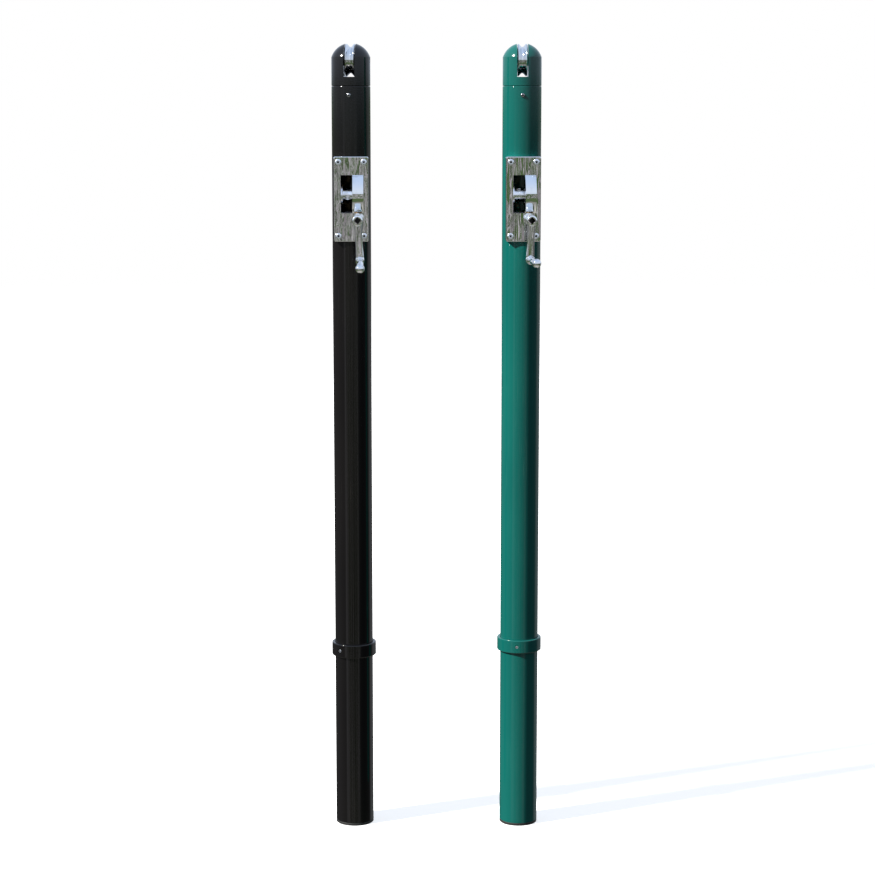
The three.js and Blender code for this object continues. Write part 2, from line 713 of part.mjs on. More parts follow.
function addCap(post, spec, nameOf) {
  const top = subgroup(post, 0, 0, tubeTop);
  top.rotation.z = radians(spec.capTurn);
  place(top, nameOf('cap'), capShape(), paint(spec.coat));
  place(top, nameOf('sheave'), sheaveShape(), chrome(), 0, 0, sheaveHeight);
  const pinHalf = tubeRadius - pinRecess;
  place(top, nameOf('sheave_pin'), rod(pinRadius, -pinHalf, pinHalf, journalSides).applyMatrix4(toX),
    steel(), 0, 0, sheaveHeight);
  const washerIn = sheaveWidth / 2 + fitGap;
  const washerOut = slotWidth / 2 - fitGap;
  const washer = (x0, x1) => ring(pinRadius + fitGap, washerRadius, x0, x1, journalSides).applyMatrix4(toX);
  place(top, nameOf('sheave_washer_left'), washer(-washerOut, -washerIn), steel(), 0, 0, sheaveHeight);
  place(top, nameOf('sheave_washer_right'), washer(washerIn, washerOut), steel(), 0, 0, sheaveHeight);
  const screwY = tubeRadius + fitGap;
  const front = buttonScrewShape().applyMatrix4(toFront);
  place(top, nameOf('cap_screw_front'), front, chrome(), 0, -screwY, -capScrewDrop);
  const back = buttonScrewShape().applyMatrix4(toFront).rotateZ(Math.PI);
  place(top, nameOf('cap_screw_back'), back, chrome(), 0, screwY, -capScrewDrop);
}

function addWinch(post, spec, nameOf) {
  const winch = subgroup(post, 0, 0, plateMiddle);
  place(winch, nameOf('winch_plate'), winchPlateShape(), chrome());
  for (const { corner, x, z } of plateScrewPlaces()) {
    place(winch, nameOf(`plate_screw_${corner}`), plateScrewShape(), chrome(), x, plateFront, z);
  }
  place(winch, nameOf('winch_bracket'), bracketShape(), steel());

  const drum = place(winch, nameOf('drum'), drumShape(), steel(), 0, shaftY, shaftHeight);
  drum.rotation.x = radians(spec.drumTurn);
  place(winch, nameOf('worm_wheel'), wormWheelShape(), bronze(), wheelX, shaftY, shaftHeight);
  const shaftEnd = cheekOuterX + bushStandOut;
  place(winch, nameOf('drum_shaft'), rod(shaftRadius, -shaftEnd, shaftEnd, journalSides).applyMatrix4(toX),
    steel(), 0, shaftY, shaftHeight);
  const bushBore = shaftRadius + runningGap;
  const cheekInner = cheekOuterX - bracketWall - fitGap;
  const bushRight = bushShape(bushBore, shaftBushRadius, shaftBushFlange, cheekInner, cheekOuterX)
    .applyMatrix4(toX);
  place(winch, nameOf('shaft_bush_right'), bushRight, bronze(), 0, shaftY, shaftHeight);
  const bushLeft = bushRight.clone().rotateZ(Math.PI);
  place(winch, nameOf('shaft_bush_left'), bushLeft, bronze(), 0, shaftY, shaftHeight);

  place(winch, nameOf('worm'), wormShape(spec.crankTurn), steel(), wheelX, 0, wormHeight);
  const rearBush = bushShape(
    wormRearJournal + runningGap, wormRearBushRadius, wormBushFlange,
    bracketRear - bridgeDepth - fitGap, bracketRear,
  ).applyMatrix4(toY);
  place(winch, nameOf('worm_bush_rear'), rearBush, bronze(), wheelX, 0, wormHeight);
  const frontBush = bushShape(
    wormFrontJournal + runningGap, wormFrontBushRadius, wormBushFlange,
    -(plateBack + fitGap), -wormFrontBushEnd,
  ).applyMatrix4(toFront);
  place(winch, nameOf('worm_bush_front'), frontBush, bronze(), wheelX, 0, wormHeight);

  const crank = subgroup(winch, wheelX, 0, wormHeight);
  crank.rotation.y = radians(spec.crankTurn);
  place(crank, nameOf('crank_arm'), crankShape(spec.gripDroop, spec.gripSide), chrome());
  const grip = subgroup(crank, 0, armMiddle, -armThrow);
  grip.rotation.set(radians(spec.gripDroop), 0, radians(spec.gripSide), 'ZYX');
  place(grip, nameOf('grip_pin'), gripPinShape(), steel());
  place(grip, nameOf('crank_grip'), gripShape(), chrome());
}

function addCollar(post, spec, nameOf) {
  const ground = subgroup(post, 0, 0, spec.collarMiddle);
  ground.rotation.z = radians(spec.collarTurn);
  place(ground, nameOf('collar'), collarShape(), paint(spec.coat));
  place(ground, nameOf('collar_screw'), collarScrewShape(), steel());
}

const netPosts = new THREE.Group();
for (const spec of posts) {
  const post = subgroup(netPosts, spec.x, 0, 0);
  post.rotation.z = radians(spec.postTurn);
  const nameOf = (piece) => `${spec.name}_${piece}`;
  place(post, nameOf('tube'), tubeShape(spec.capTurn), paint(spec.coat));
  place(post, nameOf('foot_plug'), footPlugShape(), plastic());
  addCap(post, spec, nameOf);
  addWinch(post, spec, nameOf);
  addCollar(post, spec, nameOf);
}

export default netPosts;
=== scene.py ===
import json
import math
import bpy
from mathutils import Matrix, Vector


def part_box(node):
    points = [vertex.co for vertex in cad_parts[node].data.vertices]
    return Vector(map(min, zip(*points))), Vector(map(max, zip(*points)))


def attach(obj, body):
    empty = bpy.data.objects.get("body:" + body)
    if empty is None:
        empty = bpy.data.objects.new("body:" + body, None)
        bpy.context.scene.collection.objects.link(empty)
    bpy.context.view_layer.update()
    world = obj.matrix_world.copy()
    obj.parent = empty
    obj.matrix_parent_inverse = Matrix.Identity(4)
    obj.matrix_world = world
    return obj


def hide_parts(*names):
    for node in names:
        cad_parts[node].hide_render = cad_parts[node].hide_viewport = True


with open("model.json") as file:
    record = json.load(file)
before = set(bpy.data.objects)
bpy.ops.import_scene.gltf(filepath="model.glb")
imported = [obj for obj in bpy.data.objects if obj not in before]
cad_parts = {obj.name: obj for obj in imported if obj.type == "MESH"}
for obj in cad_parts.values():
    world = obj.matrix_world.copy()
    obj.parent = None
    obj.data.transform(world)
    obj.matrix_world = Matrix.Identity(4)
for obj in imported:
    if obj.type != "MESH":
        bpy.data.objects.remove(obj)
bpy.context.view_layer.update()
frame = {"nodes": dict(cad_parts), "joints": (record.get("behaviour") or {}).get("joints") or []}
joints = {joint["name"]: joint for joint in frame["joints"]}
postNames = ["black", "green"]


# working helpers


def pickOnly(*objects):
    if bpy.context.object and bpy.context.object.mode != "OBJECT":
        bpy.ops.object.mode_set(mode="OBJECT")
    bpy.ops.object.select_all(action="DESELECT")
    for item in objects:
        item.select_set(True)
    if objects:
        bpy.context.view_layer.objects.active = objects[0]


def finishModifier(item, kind, **settings):
    pickOnly(item)
    modifier = item.modifiers.new(kind.title(), kind)
    for key, value in settings.items():
        setattr(modifier, key, value)
    bpy.ops.object.modifier_apply(modifier=modifier.name)


def settle(item, matrix=None):
    # puts the place into the mesh, so the object itself sits at the origin
    if matrix is not None:
        item.matrix_world = matrix @ item.matrix_world
    pickOnly(item)
    bpy.ops.object.transform_apply(location=True, rotation=True, scale=True)
    return item


def tidyMesh(item):
    pickOnly(item)
    bpy.ops.object.mode_set(mode="EDIT")
    bpy.ops.mesh.select_all(action="SELECT")
    bpy.ops.mesh.remove_doubles(threshold=0.000002)
    bpy.ops.mesh.normals_make_consistent(inside=False)
    bpy.ops.object.mode_set(mode="OBJECT")
    return item


def turnedPiece(name, outline, sides=96):
    # outline runs up the outside as (radius, height); on the axis it closes, else it ends where it began
    solid = outline[0][0] == 0
    points = outline[1:] if solid else outline
    pickOnly()
    bpy.ops.mesh.primitive_circle_add(
        vertices=sides, radius=points[0][0], location=(0, 0, points[0][1]),
        fill_type="NGON" if solid else "NOTHING",
    )
    item = bpy.context.object
    item.name = name
    settle(item)
    bpy.ops.object.mode_set(mode="EDIT")
    bpy.ops.mesh.select_all(action="SELECT")
    for (lastRadius, lastHeight), (radius, height) in zip(points, points[1:]):
        bpy.ops.mesh.extrude_region_move(TRANSFORM_OT_translate={"value": (0, 0, height - lastHeight)})
        scale = max(radius, 0.000001) / lastRadius
        bpy.ops.transform.resize(value=(scale, scale, 1), center_override=(0, 0, height))
    if points[-1][0] == 0:
        bpy.ops.mesh.merge(type="CENTER")
    bpy.ops.object.mode_set(mode="OBJECT")
    return tidyMesh(item)


def cornerArc(across, up, radius, low, high, steps=6):
    # outline points of a rounded corner, from one angle to the other in degrees
    turns = [math.radians(low + (high - low) * step / steps) for step in range(steps + 1)]
    return [(across + radius * math.cos(a), up + radius * math.sin(a)) for a in turns]


def boxPiece(name, low, high, cornerAxis=None, corner=0.0, steps=5):
    # a block between two corners, with its edges along one axis rounded
    pickOnly()
    middle = [(a + b) / 2 for a, b in zip(low, high)]
    bpy.ops.mesh.primitive_cube_add(size=1, location=middle, scale=[b - a for a, b in zip(low, high)])
    item = bpy.context.object
    item.name = name
    settle(item)
    if cornerAxis is not None:
        pickEdges(item, lambda a, b: abs((a - b)[cornerAxis]) > 0.9 * (high[cornerAxis] - low[cornerAxis]))
        bpy.ops.mesh.bevel(offset=corner, segments=steps, affect="EDGES")
        bpy.ops.object.mode_set(mode="OBJECT")
    return item


def pickEdges(item, wanted):
    pickOnly(item)
    bpy.ops.object.mode_set(mode="EDIT")
    bpy.ops.mesh.select_mode(type="EDGE")
    bpy.ops.mesh.select_all(action="DESELECT")
    bpy.ops.object.mode_set(mode="OBJECT")
    corners = item.data.vertices
    for edge in item.data.edges:
        edge.select = wanted(corners[edge.vertices[0]].co, corners[edge.vertices[1]].co)
    bpy.ops.object.mode_set(mode="EDIT")


def rodPiece(name, radius, start, end, sides=48):
    # a straight round rod between two points
    start, end = Vector(start), Vector(end)
    pickOnly()
    bpy.ops.mesh.primitive_cylinder_add(vertices=sides, radius=radius, depth=(end - start).length)
    item = bpy.context.object
    item.name = name
    turn = (end - start).to_track_quat("Z", "Y").to_matrix().to_4x4()
    return settle(item, Matrix.Translation((start + end) / 2) @ turn)


def carve(item, *cutters, operation="DIFFERENCE"):
    for cutter in cutters:
        finishModifier(item, "BOOLEAN", operation=operation, object=cutter, solver="EXACT")
        bpy.data.objects.remove(cutter)
    return item


def roundEdges(item, width, segments=3, angle=32):
    finishModifier(
        item, "BEVEL", width=width, segments=segments, limit_method="ANGLE",
        angle_limit=math.radians(angle), harden_normals=False, use_clamp_overlap=True,
    )
    return item


def smoothShade(item, angle=34):
    pickOnly(item)
    bpy.ops.object.shade_smooth_by_angle(angle=math.radians(angle))
    finishModifier(item, "WEIGHTED_NORMAL", weight=100, keep_sharp=True)
    return item


def innerFinish(item, wanted):
    # faces inside a socket take the piece's second finish, a near-black steel that paints the shade in the
    # socket
    for face in item.data.polygons:
        if wanted(face.center, face.normal):
            face.material_index = 1


def copyPiece(master, name, matrix):
    item = master.copy()
    item.data = master.data.copy()
    item.name = name
    bpy.context.scene.collection.objects.link(item)
    return settle(item, matrix)


def hexSocket(acrossFlats, bottom, top):
    pickOnly()
    bpy.ops.mesh.primitive_cylinder_add(
        vertices=6, radius=acrossFlats / math.sqrt(3), depth=top - bottom,
        location=(0, 0, (top + bottom) / 2),
    )
    return settle(bpy.context.object)


# what the frame says about each post

toX = Matrix(((0, 0, 1, 0), (1, 0, 0, 0), (0, 1, 0, 0), (0, 0, 0, 1)))
toFront = Matrix(((1, 0, 0, 0), (0, 0, -1, 0), (0, 1, 0, 0), (0, 0, 0, 1)))


def turnAbout(axis, angle):
    return Matrix.Rotation(angle, 4, axis)


def readPost(name):
    plugLow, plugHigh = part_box(f"{name}_foot_plug")
    axisAt = (plugLow + plugHigh) / 2
    plateLow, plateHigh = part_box(f"{name}_winch_plate")
    drum, worm = joints[f"{name}_drum_turn"], joints[f"{name}_crank_turn"]
    sheave, grip = joints[f"{name}_sheave_spin"], joints[f"{name}_grip_spin"]
    postTurn = math.atan2(drum["axis"][1], drum["axis"][0])
    capTurn = math.atan2(sheave["axis"][1], sheave["axis"][0])
    stand = Matrix.Translation((axisAt.x, axisAt.y, 0)) @ turnAbout("Z", postTurn)
    winch = stand @ Matrix.Translation((0, 0, (plateLow.z + plateHigh.z) / 2))
    crankTo = stand.inverted() @ Vector(grip["pos_m"])
    crankFrom = stand.inverted() @ Vector(worm["pos_m"])
    lean = math.atan2(crankTo.x - crankFrom.x, crankFrom.z - crankTo.z)
    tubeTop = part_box(f"{name}_tube")[1].z
    collarLow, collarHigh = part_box(f"{name}_collar")
    screwLow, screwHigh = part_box(f"{name}_collar_screw")
    screwAt = (screwLow + screwHigh) / 2 - axisAt
    collarTurn = math.atan2(screwAt.x, -screwAt.y)
    return {
        "stand": stand,
        "winch": winch,
        "tubeTop": tubeTop,
        "plateMiddle": (plateLow.z + plateHigh.z) / 2,
        "cap": Matrix.Translation((axisAt.x, axisAt.y, tubeTop)) @ turnAbout("Z", capTurn),
        "capTurn": capTurn - postTurn,
        "sheaveHeight": sheave["pos_m"][2] - tubeTop,
        "drumAt": winch.inverted() @ Vector(drum["pos_m"]),
        "wormAt": winch.inverted() @ Vector(worm["pos_m"]),
        "crank": winch @ Matrix.Translation(winch.inverted() @ Vector(worm["pos_m"])) @ turnAbout("Y", -lean),
        "grip": Matrix.Translation(grip["pos_m"])
        @ Vector(grip["axis"]).to_track_quat("Z", "Y").to_matrix().to_4x4(),
        "collar": Matrix.Translation((axisAt.x, axisAt.y, (collarLow.z + collarHigh.z) / 2))
        @ turnAbout("Z", collarTurn),
        "plugTop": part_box(f"{name}_tube")[0].z,
    }


places = {name: readPost(name) for name in postNames}
one = places["black"]  # both posts are made to the same drawing
print("frame read:", len(frame["nodes"]), "nodes")


# camera, floor and light

cameraSettings = {"behind": 4.239, "beside": 0.1624, "belowTubeTop": 0.015, "pitch": 8.74, "lens": 91.87}


def setCamera():
    pickOnly()
    height = one["tubeTop"] - cameraSettings["belowTubeTop"]
    bpy.ops.object.camera_add(
        location=(cameraSettings["beside"], -cameraSettings["behind"], height),
        rotation=(math.radians(90 - cameraSettings["pitch"]), 0, 0),
    )
    camera = bpy.context.object
    camera.data.lens = cameraSettings["lens"]
    camera.data.sensor_width = 36
    camera.data.clip_start, camera.data.clip_end = 0.05, 100
    bpy.context.scene.camera = camera


def newNode(tree, kind, **inputs):
    node = tree.nodes.new(kind)
    for key, value in inputs.items():
        if key in node.inputs:
            node.inputs[key].default_value = value
        else:
            setattr(node, key, value)
    return node


def fillRamp(node, stops):
    ramp = node.color_ramp
    while len(ramp.elements) > 1:
        ramp.elements.remove(ramp.elements[-1])
    for index, (position, color) in enumerate(stops):
        element = ramp.elements[0] if index == 0 else ramp.elements.new(position)
        element.position = position
        element.color = (*color, 1)


floorSettings = {"radius": 14, "color": (0.80, 0.80, 0.80), "glow": 0.5, "fadeStart": 3.5, "fadeEnd": 13}


def setFloor():
    pickOnly()
    bpy.ops.mesh.primitive_circle_add(vertices=96, radius=floorSettings["radius"], fill_type="NGON")
    floor = bpy.context.object
    floor.name = "studioFloor"
    material = bpy.data.materials.new("paleFloor")
    material.use_nodes = True
    tree = material.node_tree
    shader = tree.nodes["Principled BSDF"]
    shader.inputs["Base Color"].default_value = (*floorSettings["color"], 1)
    shader.inputs["Roughness"].default_value = 0.85
    spot = newNode(tree, "ShaderNodeTexCoord")
    length = newNode(tree, "ShaderNodeVectorMath", operation="LENGTH")
    fade = newNode(tree, "ShaderNodeMapRange", interpolation_type="SMOOTHSTEP")
    fade.inputs["From Min"].default_value = floorSettings["fadeStart"]
    fade.inputs["From Max"].default_value = floorSettings["fadeEnd"]
    fade.inputs["To Min"].default_value = 1
    fade.inputs["To Max"].default_value = 0
    tree.links.new(spot.outputs["Object"], length.inputs[0])
    tree.links.new(length.outputs["Value"], fade.inputs["Value"])
    tree.links.new(fade.outputs["Result"], shader.inputs["Alpha"])
    floor.data.materials.append(material)
    shader.inputs["Emission Color"].default_value = (1, 1, 1, 1)
    shader.inputs["Emission Strength"].default_value = floorSettings["glow"]
    # the floor only catches shadows, so the posts are lit and mirrored as they are outdoors
    floor.visible_glossy = False
    floor.visible_diffuse = False


worldSettings = {
    "backdrop": (1.0, 1.0, 1.0),
    "diffuseShare": 0.33,  # the open sky is dimmer in matt light than in the metal's mirror image
    "sky": [(0.0, (0.62, 0.60, 0.55)), (0.10, (0.40, 0.39, 0.37)), (0.185, (0.27, 0.27, 0.25)),
            (0.205, (0.10, 0.135, 0.07)), (0.499, (0.10, 0.17, 0.05)), (0.505, (0.66, 0.74, 0.88)),
            (0.60, (0.74, 0.83, 0.98)), (1.0, (0.55, 0.70, 0.98))],
    # what stands round the post, from straight behind it by the left, the front and the right
    "around": [(0.0, 0.05), (0.14, 0.09), (0.25, 0.16), (0.36, 0.13), (0.385, 0.62), (0.405, 0.16),
               (0.44, 0.07), (0.56, 0.06), (0.575, 0.08), (0.583, 0.95), (0.591, 0.95), (0.598, 0.08),
               (0.68, 0.05), (0.79, 0.08), (0.83, 0.45), (0.88, 0.34), (1.0, 0.05)],
    "trunks": [(0.34, "trunkDark"), (0.39, "leaf"), (0.43, "leaf"), (0.45, "trunkDark"), (0.465, "bark"),
               (0.495, "bark"), (0.507, "trunkLight"), (0.519, "trunkDark"), (0.527, "leaf"), (0.552, "leaf"),
               (0.562, "trunkDark"), (0.575, "bark"), (0.61, "trunkLight"), (0.64, "bark")],
    "trunkDark": (0.012, 0.016, 0.010),
    "leaf": (0.075, 0.125, 0.045),
    "bark": (0.30, 0.275, 0.295),
    "trunkLight": (0.86, 0.87, 0.86),
    "frontHalfWidth": 0.085,
    "frontFade": 0.02,
    "trunkStretch": (1, 1, 0.10),
    "trunkNoise": {"Scale": 10.0, "Detail": 2.2, "Roughness": 0.58},
    # where the scenery covers the ground and sky; like "sky" it runs from 0, straight down, to 1, straight up
    "sceneryBand": [(0.315, 0), (0.335, 1), (0.485, 1), (0.499, 0)],
}


def setWorld():
    # white backdrop for the camera; open sky, tree trunks and grass for what the metal mirrors
    bpy.context.scene.view_settings.view_transform = "Standard"
    values = worldSettings
    world = bpy.data.worlds.new("studioWorld")
    bpy.context.scene.world = world
    world.use_nodes = True
    tree = world.node_tree
    tree.nodes.clear()
    spot = newNode(tree, "ShaderNodeTexCoord")
    split = newNode(tree, "ShaderNodeSeparateXYZ")
    tree.links.new(spot.outputs["Generated"], split.inputs[0])
    height = newNode(tree, "ShaderNodeMapRange")
    height.inputs["From Min"].default_value = -1
    tree.links.new(split.outputs["Z"], height.inputs["Value"])
    sky = newNode(tree, "ShaderNodeValToRGB")
    fillRamp(sky, values["sky"])
    tree.links.new(height.outputs["Result"], sky.inputs["Fac"])

    flip = newNode(tree, "ShaderNodeMath", operation="MULTIPLY")
    flip.inputs[1].default_value = -1
    tree.links.new(split.outputs["Y"], flip.inputs[0])
    bearing = newNode(tree, "ShaderNodeMath", operation="ARCTAN2")
    tree.links.new(split.outputs["X"], bearing.inputs[0])
    tree.links.new(flip.outputs["Value"], bearing.inputs[1])
    share = newNode(tree, "ShaderNodeMapRange")
    share.inputs["From Min"].default_value = -math.pi
    share.inputs["From Max"].default_value = math.pi
    tree.links.new(bearing.outputs["Value"], share.inputs["Value"])
    around = newNode(tree, "ShaderNodeValToRGB")
    fillRamp(around, [(place, (level * 0.98, level, level * 1.04)) for place, level in values["around"]])
    tree.links.new(share.outputs["Result"], around.inputs["Fac"])

    stretch = newNode(tree, "ShaderNodeMapping")
    stretch.inputs["Scale"].default_value = values["trunkStretch"]
    tree.links.new(spot.outputs["Generated"], stretch.inputs["Vector"])
    noise = newNode(tree, "ShaderNodeTexNoise", **values["trunkNoise"])
    tree.links.new(stretch.outputs["Vector"], noise.inputs["Vector"])
    trunks = newNode(tree, "ShaderNodeValToRGB")
    fillRamp(trunks, [(place, values[tone]) for place, tone in values["trunks"]])
    tree.links.new(noise.outputs["Fac"], trunks.inputs["Fac"])
    front = newNode(tree, "ShaderNodeValToRGB")
    half = values["frontHalfWidth"]
    fade = values["frontFade"]
    fillRamp(front, [(0.5 - half - fade, (0, 0, 0)), (0.5 - half, (1, 1, 1)), (0.5 + half, (1, 1, 1)),
                     (0.5 + half + fade, (0, 0, 0))])
    tree.links.new(share.outputs["Result"], front.inputs["Fac"])
    scenery = newNode(tree, "ShaderNodeMix", data_type="RGBA")
    tree.links.new(front.outputs["Color"], scenery.inputs["Factor"])
    tree.links.new(around.outputs["Color"], scenery.inputs["A"])
    tree.links.new(trunks.outputs["Color"], scenery.inputs["B"])
    band = newNode(tree, "ShaderNodeValToRGB")
    fillRamp(band, [(place, (level, level, level)) for place, level in values["sceneryBand"]])
    tree.links.new(height.outputs["Result"], band.inputs["Fac"])
    mix = newNode(tree, "ShaderNodeMix", data_type="RGBA")
    tree.links.new(band.outputs["Color"], mix.inputs["Factor"])
    tree.links.new(sky.outputs["Color"], mix.inputs["A"])
    tree.links.new(scenery.outputs["Result"], mix.inputs["B"])

    ray = newNode(tree, "ShaderNodeLightPath")
    strength = newNode(tree, "ShaderNodeMapRange")
    strength.inputs["To Min"].default_value = values["diffuseShare"]
    strength.inputs["To Max"].default_value = 1
    tree.links.new(ray.outputs["Is Glossy Ray"], strength.inputs["Value"])
    outdoors = newNode(tree, "ShaderNodeBackground")
    tree.links.new(mix.outputs["Result"], outdoors.inputs["Color"])
    tree.links.new(strength.outputs["Result"], outdoors.inputs["Strength"])
    behind = newNode(tree, "ShaderNodeBackground", Color=(*values["backdrop"], 1), Strength=1.0)
    choose = newNode(tree, "ShaderNodeMixShader")
    tree.links.new(ray.outputs["Is Camera Ray"], choose.inputs["Fac"])
    tree.links.new(outdoors.outputs["Background"], choose.inputs[1])
    tree.links.new(behind.outputs["Background"], choose.inputs[2])
    out = newNode(tree, "ShaderNodeOutputWorld")
    tree.links.new(choose.outputs["Shader"], out.inputs["Surface"])


# bearing is measured from the front, to the left as seen from the front
lamps = [
    {"name": "keyLeft", "bearing": 65, "lift": 38, "power": 7.0, "spread": 3, "color": (1.0, 0.97, 0.92),
     "mirrored": True},
    {"name": "fillBack", "bearing": -150, "lift": 40, "power": 1.6, "spread": 30, "color": (0.93, 0.96, 1.0),
     "mirrored": False},
]


def setLamps():
    for lamp in lamps:
        pickOnly()
        bpy.ops.object.light_add(
            type="SUN", location=(0, 0, 3),
            rotation=(math.radians(90 - lamp["lift"]), 0, math.radians(-lamp["bearing"])),
        )
        light = bpy.context.object
        light.name = lamp["name"]
        light.data.energy = lamp["power"]
        light.data.angle = math.radians(lamp["spread"])
        light.data.color = lamp["color"]
        light.visible_glossy = lamp["mirrored"]  # the wide fill would show as a white patch in the gloss


setCamera()
setFloor()
setWorld()
setLamps()
print("camera, floor and light set")


# materials


def newMaterial(name):
    material = bpy.data.materials.new(name)
    material.use_nodes = True
    return material, material.node_tree, material.node_tree.nodes["Principled BSDF"]


def objectNoise(tree, scale, stretch=(1, 1, 1), detail=3.0, roughness=0.5):
    spot = newNode(tree, "ShaderNodeTexCoord")
    mapping = newNode(tree, "ShaderNodeMapping")
    mapping.inputs["Scale"].default_value = stretch
    noise = newNode(tree, "ShaderNodeTexNoise", Scale=scale, Detail=detail, Roughness=roughness)
    tree.links.new(spot.outputs["Object"], mapping.inputs["Vector"])
    tree.links.new(mapping.outputs["Vector"], noise.inputs["Vector"])
    return noise


def rangeOf(tree, source, fromLow, fromHigh, toLow, toHigh):
    node = newNode(tree, "ShaderNodeMapRange")
    for key, value in (("From Min", fromLow), ("From Max", fromHigh), ("To Min", toLow), ("To Max", toHigh)):
        node.inputs[key].default_value = value
    tree.links.new(source, node.inputs["Value"])
    return node.outputs["Result"]


def addBump(tree, shader, height, strength, distance, before=None):
    bump = newNode(tree, "ShaderNodeBump", Strength=strength, Distance=distance)
    tree.links.new(height, bump.inputs["Height"])
    if before is not None:
        tree.links.new(before.outputs["Normal"], bump.inputs["Normal"])
    tree.links.new(bump.outputs["Normal"], shader.inputs["Normal"])
    return bump


coats = {
    "black": {"base": (0.0042, 0.0038, 0.0040), "cloud": (0.0060, 0.0054, 0.0054),
              "scuff": (0.045, 0.042, 0.036)},
    "green": {"base": (0.0035, 0.112, 0.096), "cloud": (0.0050, 0.128, 0.108),
              "scuff": (0.060, 0.200, 0.170)},
}


def coatMaterial(name):
    # stoved gloss powder coat: faint clouding, orange peel, fine handling scuffs along the post
    values = coats[name]
    material, tree, shader = newMaterial(f"{name}PowderCoat")
    cloud = objectNoise(tree, 9, (1, 1, 0.35), 3.0)
    blend = newNode(tree, "ShaderNodeMix", data_type="RGBA")
    blend.inputs["A"].default_value = (*values["base"], 1)
    blend.inputs["B"].default_value = (*values["cloud"], 1)
    tree.links.new(rangeOf(tree, cloud.outputs["Fac"], 0.4, 0.7, 0, 1), blend.inputs["Factor"])
    streak = objectNoise(tree, 60, (9, 9, 0.12), 2.0, 0.6)
    patch = objectNoise(tree, 7, (1, 1, 0.5), 2.0)
    scuffs = newNode(tree, "ShaderNodeMath", operation="MULTIPLY")
    tree.links.new(rangeOf(tree, streak.outputs["Fac"], 0.63, 0.72, 0, 1), scuffs.inputs[0])
    tree.links.new(rangeOf(tree, patch.outputs["Fac"], 0.52, 0.68, 0, 0.55), scuffs.inputs[1])
    worn = newNode(tree, "ShaderNodeMix", data_type="RGBA")
    tree.links.new(scuffs.outputs["Value"], worn.inputs["Factor"])
    tree.links.new(blend.outputs["Result"], worn.inputs["A"])
    worn.inputs["B"].default_value = (*values["scuff"], 1)
    tree.links.new(worn.outputs["Result"], shader.inputs["Base Color"])
    tree.links.new(rangeOf(tree, patch.outputs["Fac"], 0.3, 0.7, 0.07, 0.16), shader.inputs["Roughness"])
    shader.inputs["IOR"].default_value = 1.46
    ripple = objectNoise(tree, 55, (1, 1, 0.10), 2.0)
    first = addBump(tree, shader, ripple.outputs["Fac"], 0.10, 0.0010)
    peel = objectNoise(tree, 420, (1, 1, 1), 2.0)
    addBump(tree, shader, peel.outputs["Fac"], 0.07, 0.0004, before=first)
    return material


metals = {
    "polishedChrome": {"color": (0.86, 0.87, 0.88), "dull": (0.72, 0.73, 0.74), "rough": (0.02, 0.07),
                       "wave": 0.75, "waveScale": 70, "grain": 0.02},
    "turnedChrome": {"color": (0.80, 0.81, 0.82), "dull": (0.68, 0.69, 0.70), "rough": (0.04, 0.14),
                     "wave": 0.12, "waveScale": 60, "grain": 0.05},
    "screwSteel": {"color": (0.34, 0.34, 0.35), "dull": (0.22, 0.22, 0.22), "rough": (0.16, 0.34),
                   "wave": 0.05, "waveScale": 200, "grain": 0.10},
    "platedSteel": {"color": (0.86, 0.89, 0.95), "dull": (0.72, 0.74, 0.78), "rough": (0.26, 0.40),
                    "wave": 0.05, "waveScale": 200, "grain": 0.08},
    "drumSteel": {"color": (0.86, 0.88, 0.92), "dull": (0.62, 0.62, 0.60), "rough": (0.16, 0.30),
                  "wave": 0.05, "waveScale": 120, "grain": 0.15},
    "machinedSteel": {"color": (0.34, 0.35, 0.36), "dull": (0.20, 0.20, 0.20), "rough": (0.20, 0.42),
                      "wave": 0.05, "waveScale": 120, "grain": 0.25},
    # near-black steel: grease on the worm, and painted shade on the walls inside the screw and crank sockets
    "greasedSteelAndPaintedSocketShade": {"color": (0.045, 0.043, 0.040), "dull": (0.020, 0.019, 0.018), "rough": (0.32, 0.50),
                     "wave": 0.05, "waveScale": 150, "grain": 0.15},
    "bearingBronze": {"color": (0.56, 0.37, 0.17), "dull": (0.36, 0.22, 0.10), "rough": (0.22, 0.42),
                      "wave": 0.05, "waveScale": 120, "grain": 0.20},
}


def metalMaterial(name):
    values = metals[name]
    material, tree, shader = newMaterial(name)
    shader.inputs["Metallic"].default_value = 1.0
    stain = objectNoise(tree, 45, (1, 1, 0.6), 4.0, 0.6)
    tint = newNode(tree, "ShaderNodeMix", data_type="RGBA")
    tint.inputs["A"].default_value = (*values["color"], 1)
    tint.inputs["B"].default_value = (*values["dull"], 1)
    tree.links.new(rangeOf(tree, stain.outputs["Fac"], 0.5, 0.75, 0, 1), tint.inputs["Factor"])
    tree.links.new(tint.outputs["Result"], shader.inputs["Base Color"])
    roughness = rangeOf(tree, stain.outputs["Fac"], 0.35, 0.75, *values["rough"])
    tree.links.new(roughness, shader.inputs["Roughness"])
    wave = objectNoise(tree, values["waveScale"], (1, 1, 0.16), 1.5)
    first = addBump(tree, shader, wave.outputs["Fac"], values["wave"], 0.0012)
    grain = objectNoise(tree, 900, (1, 1, 0.25), 2.0)
    addBump(tree, shader, grain.outputs["Fac"], values["grain"], 0.0003, before=first)
    return material


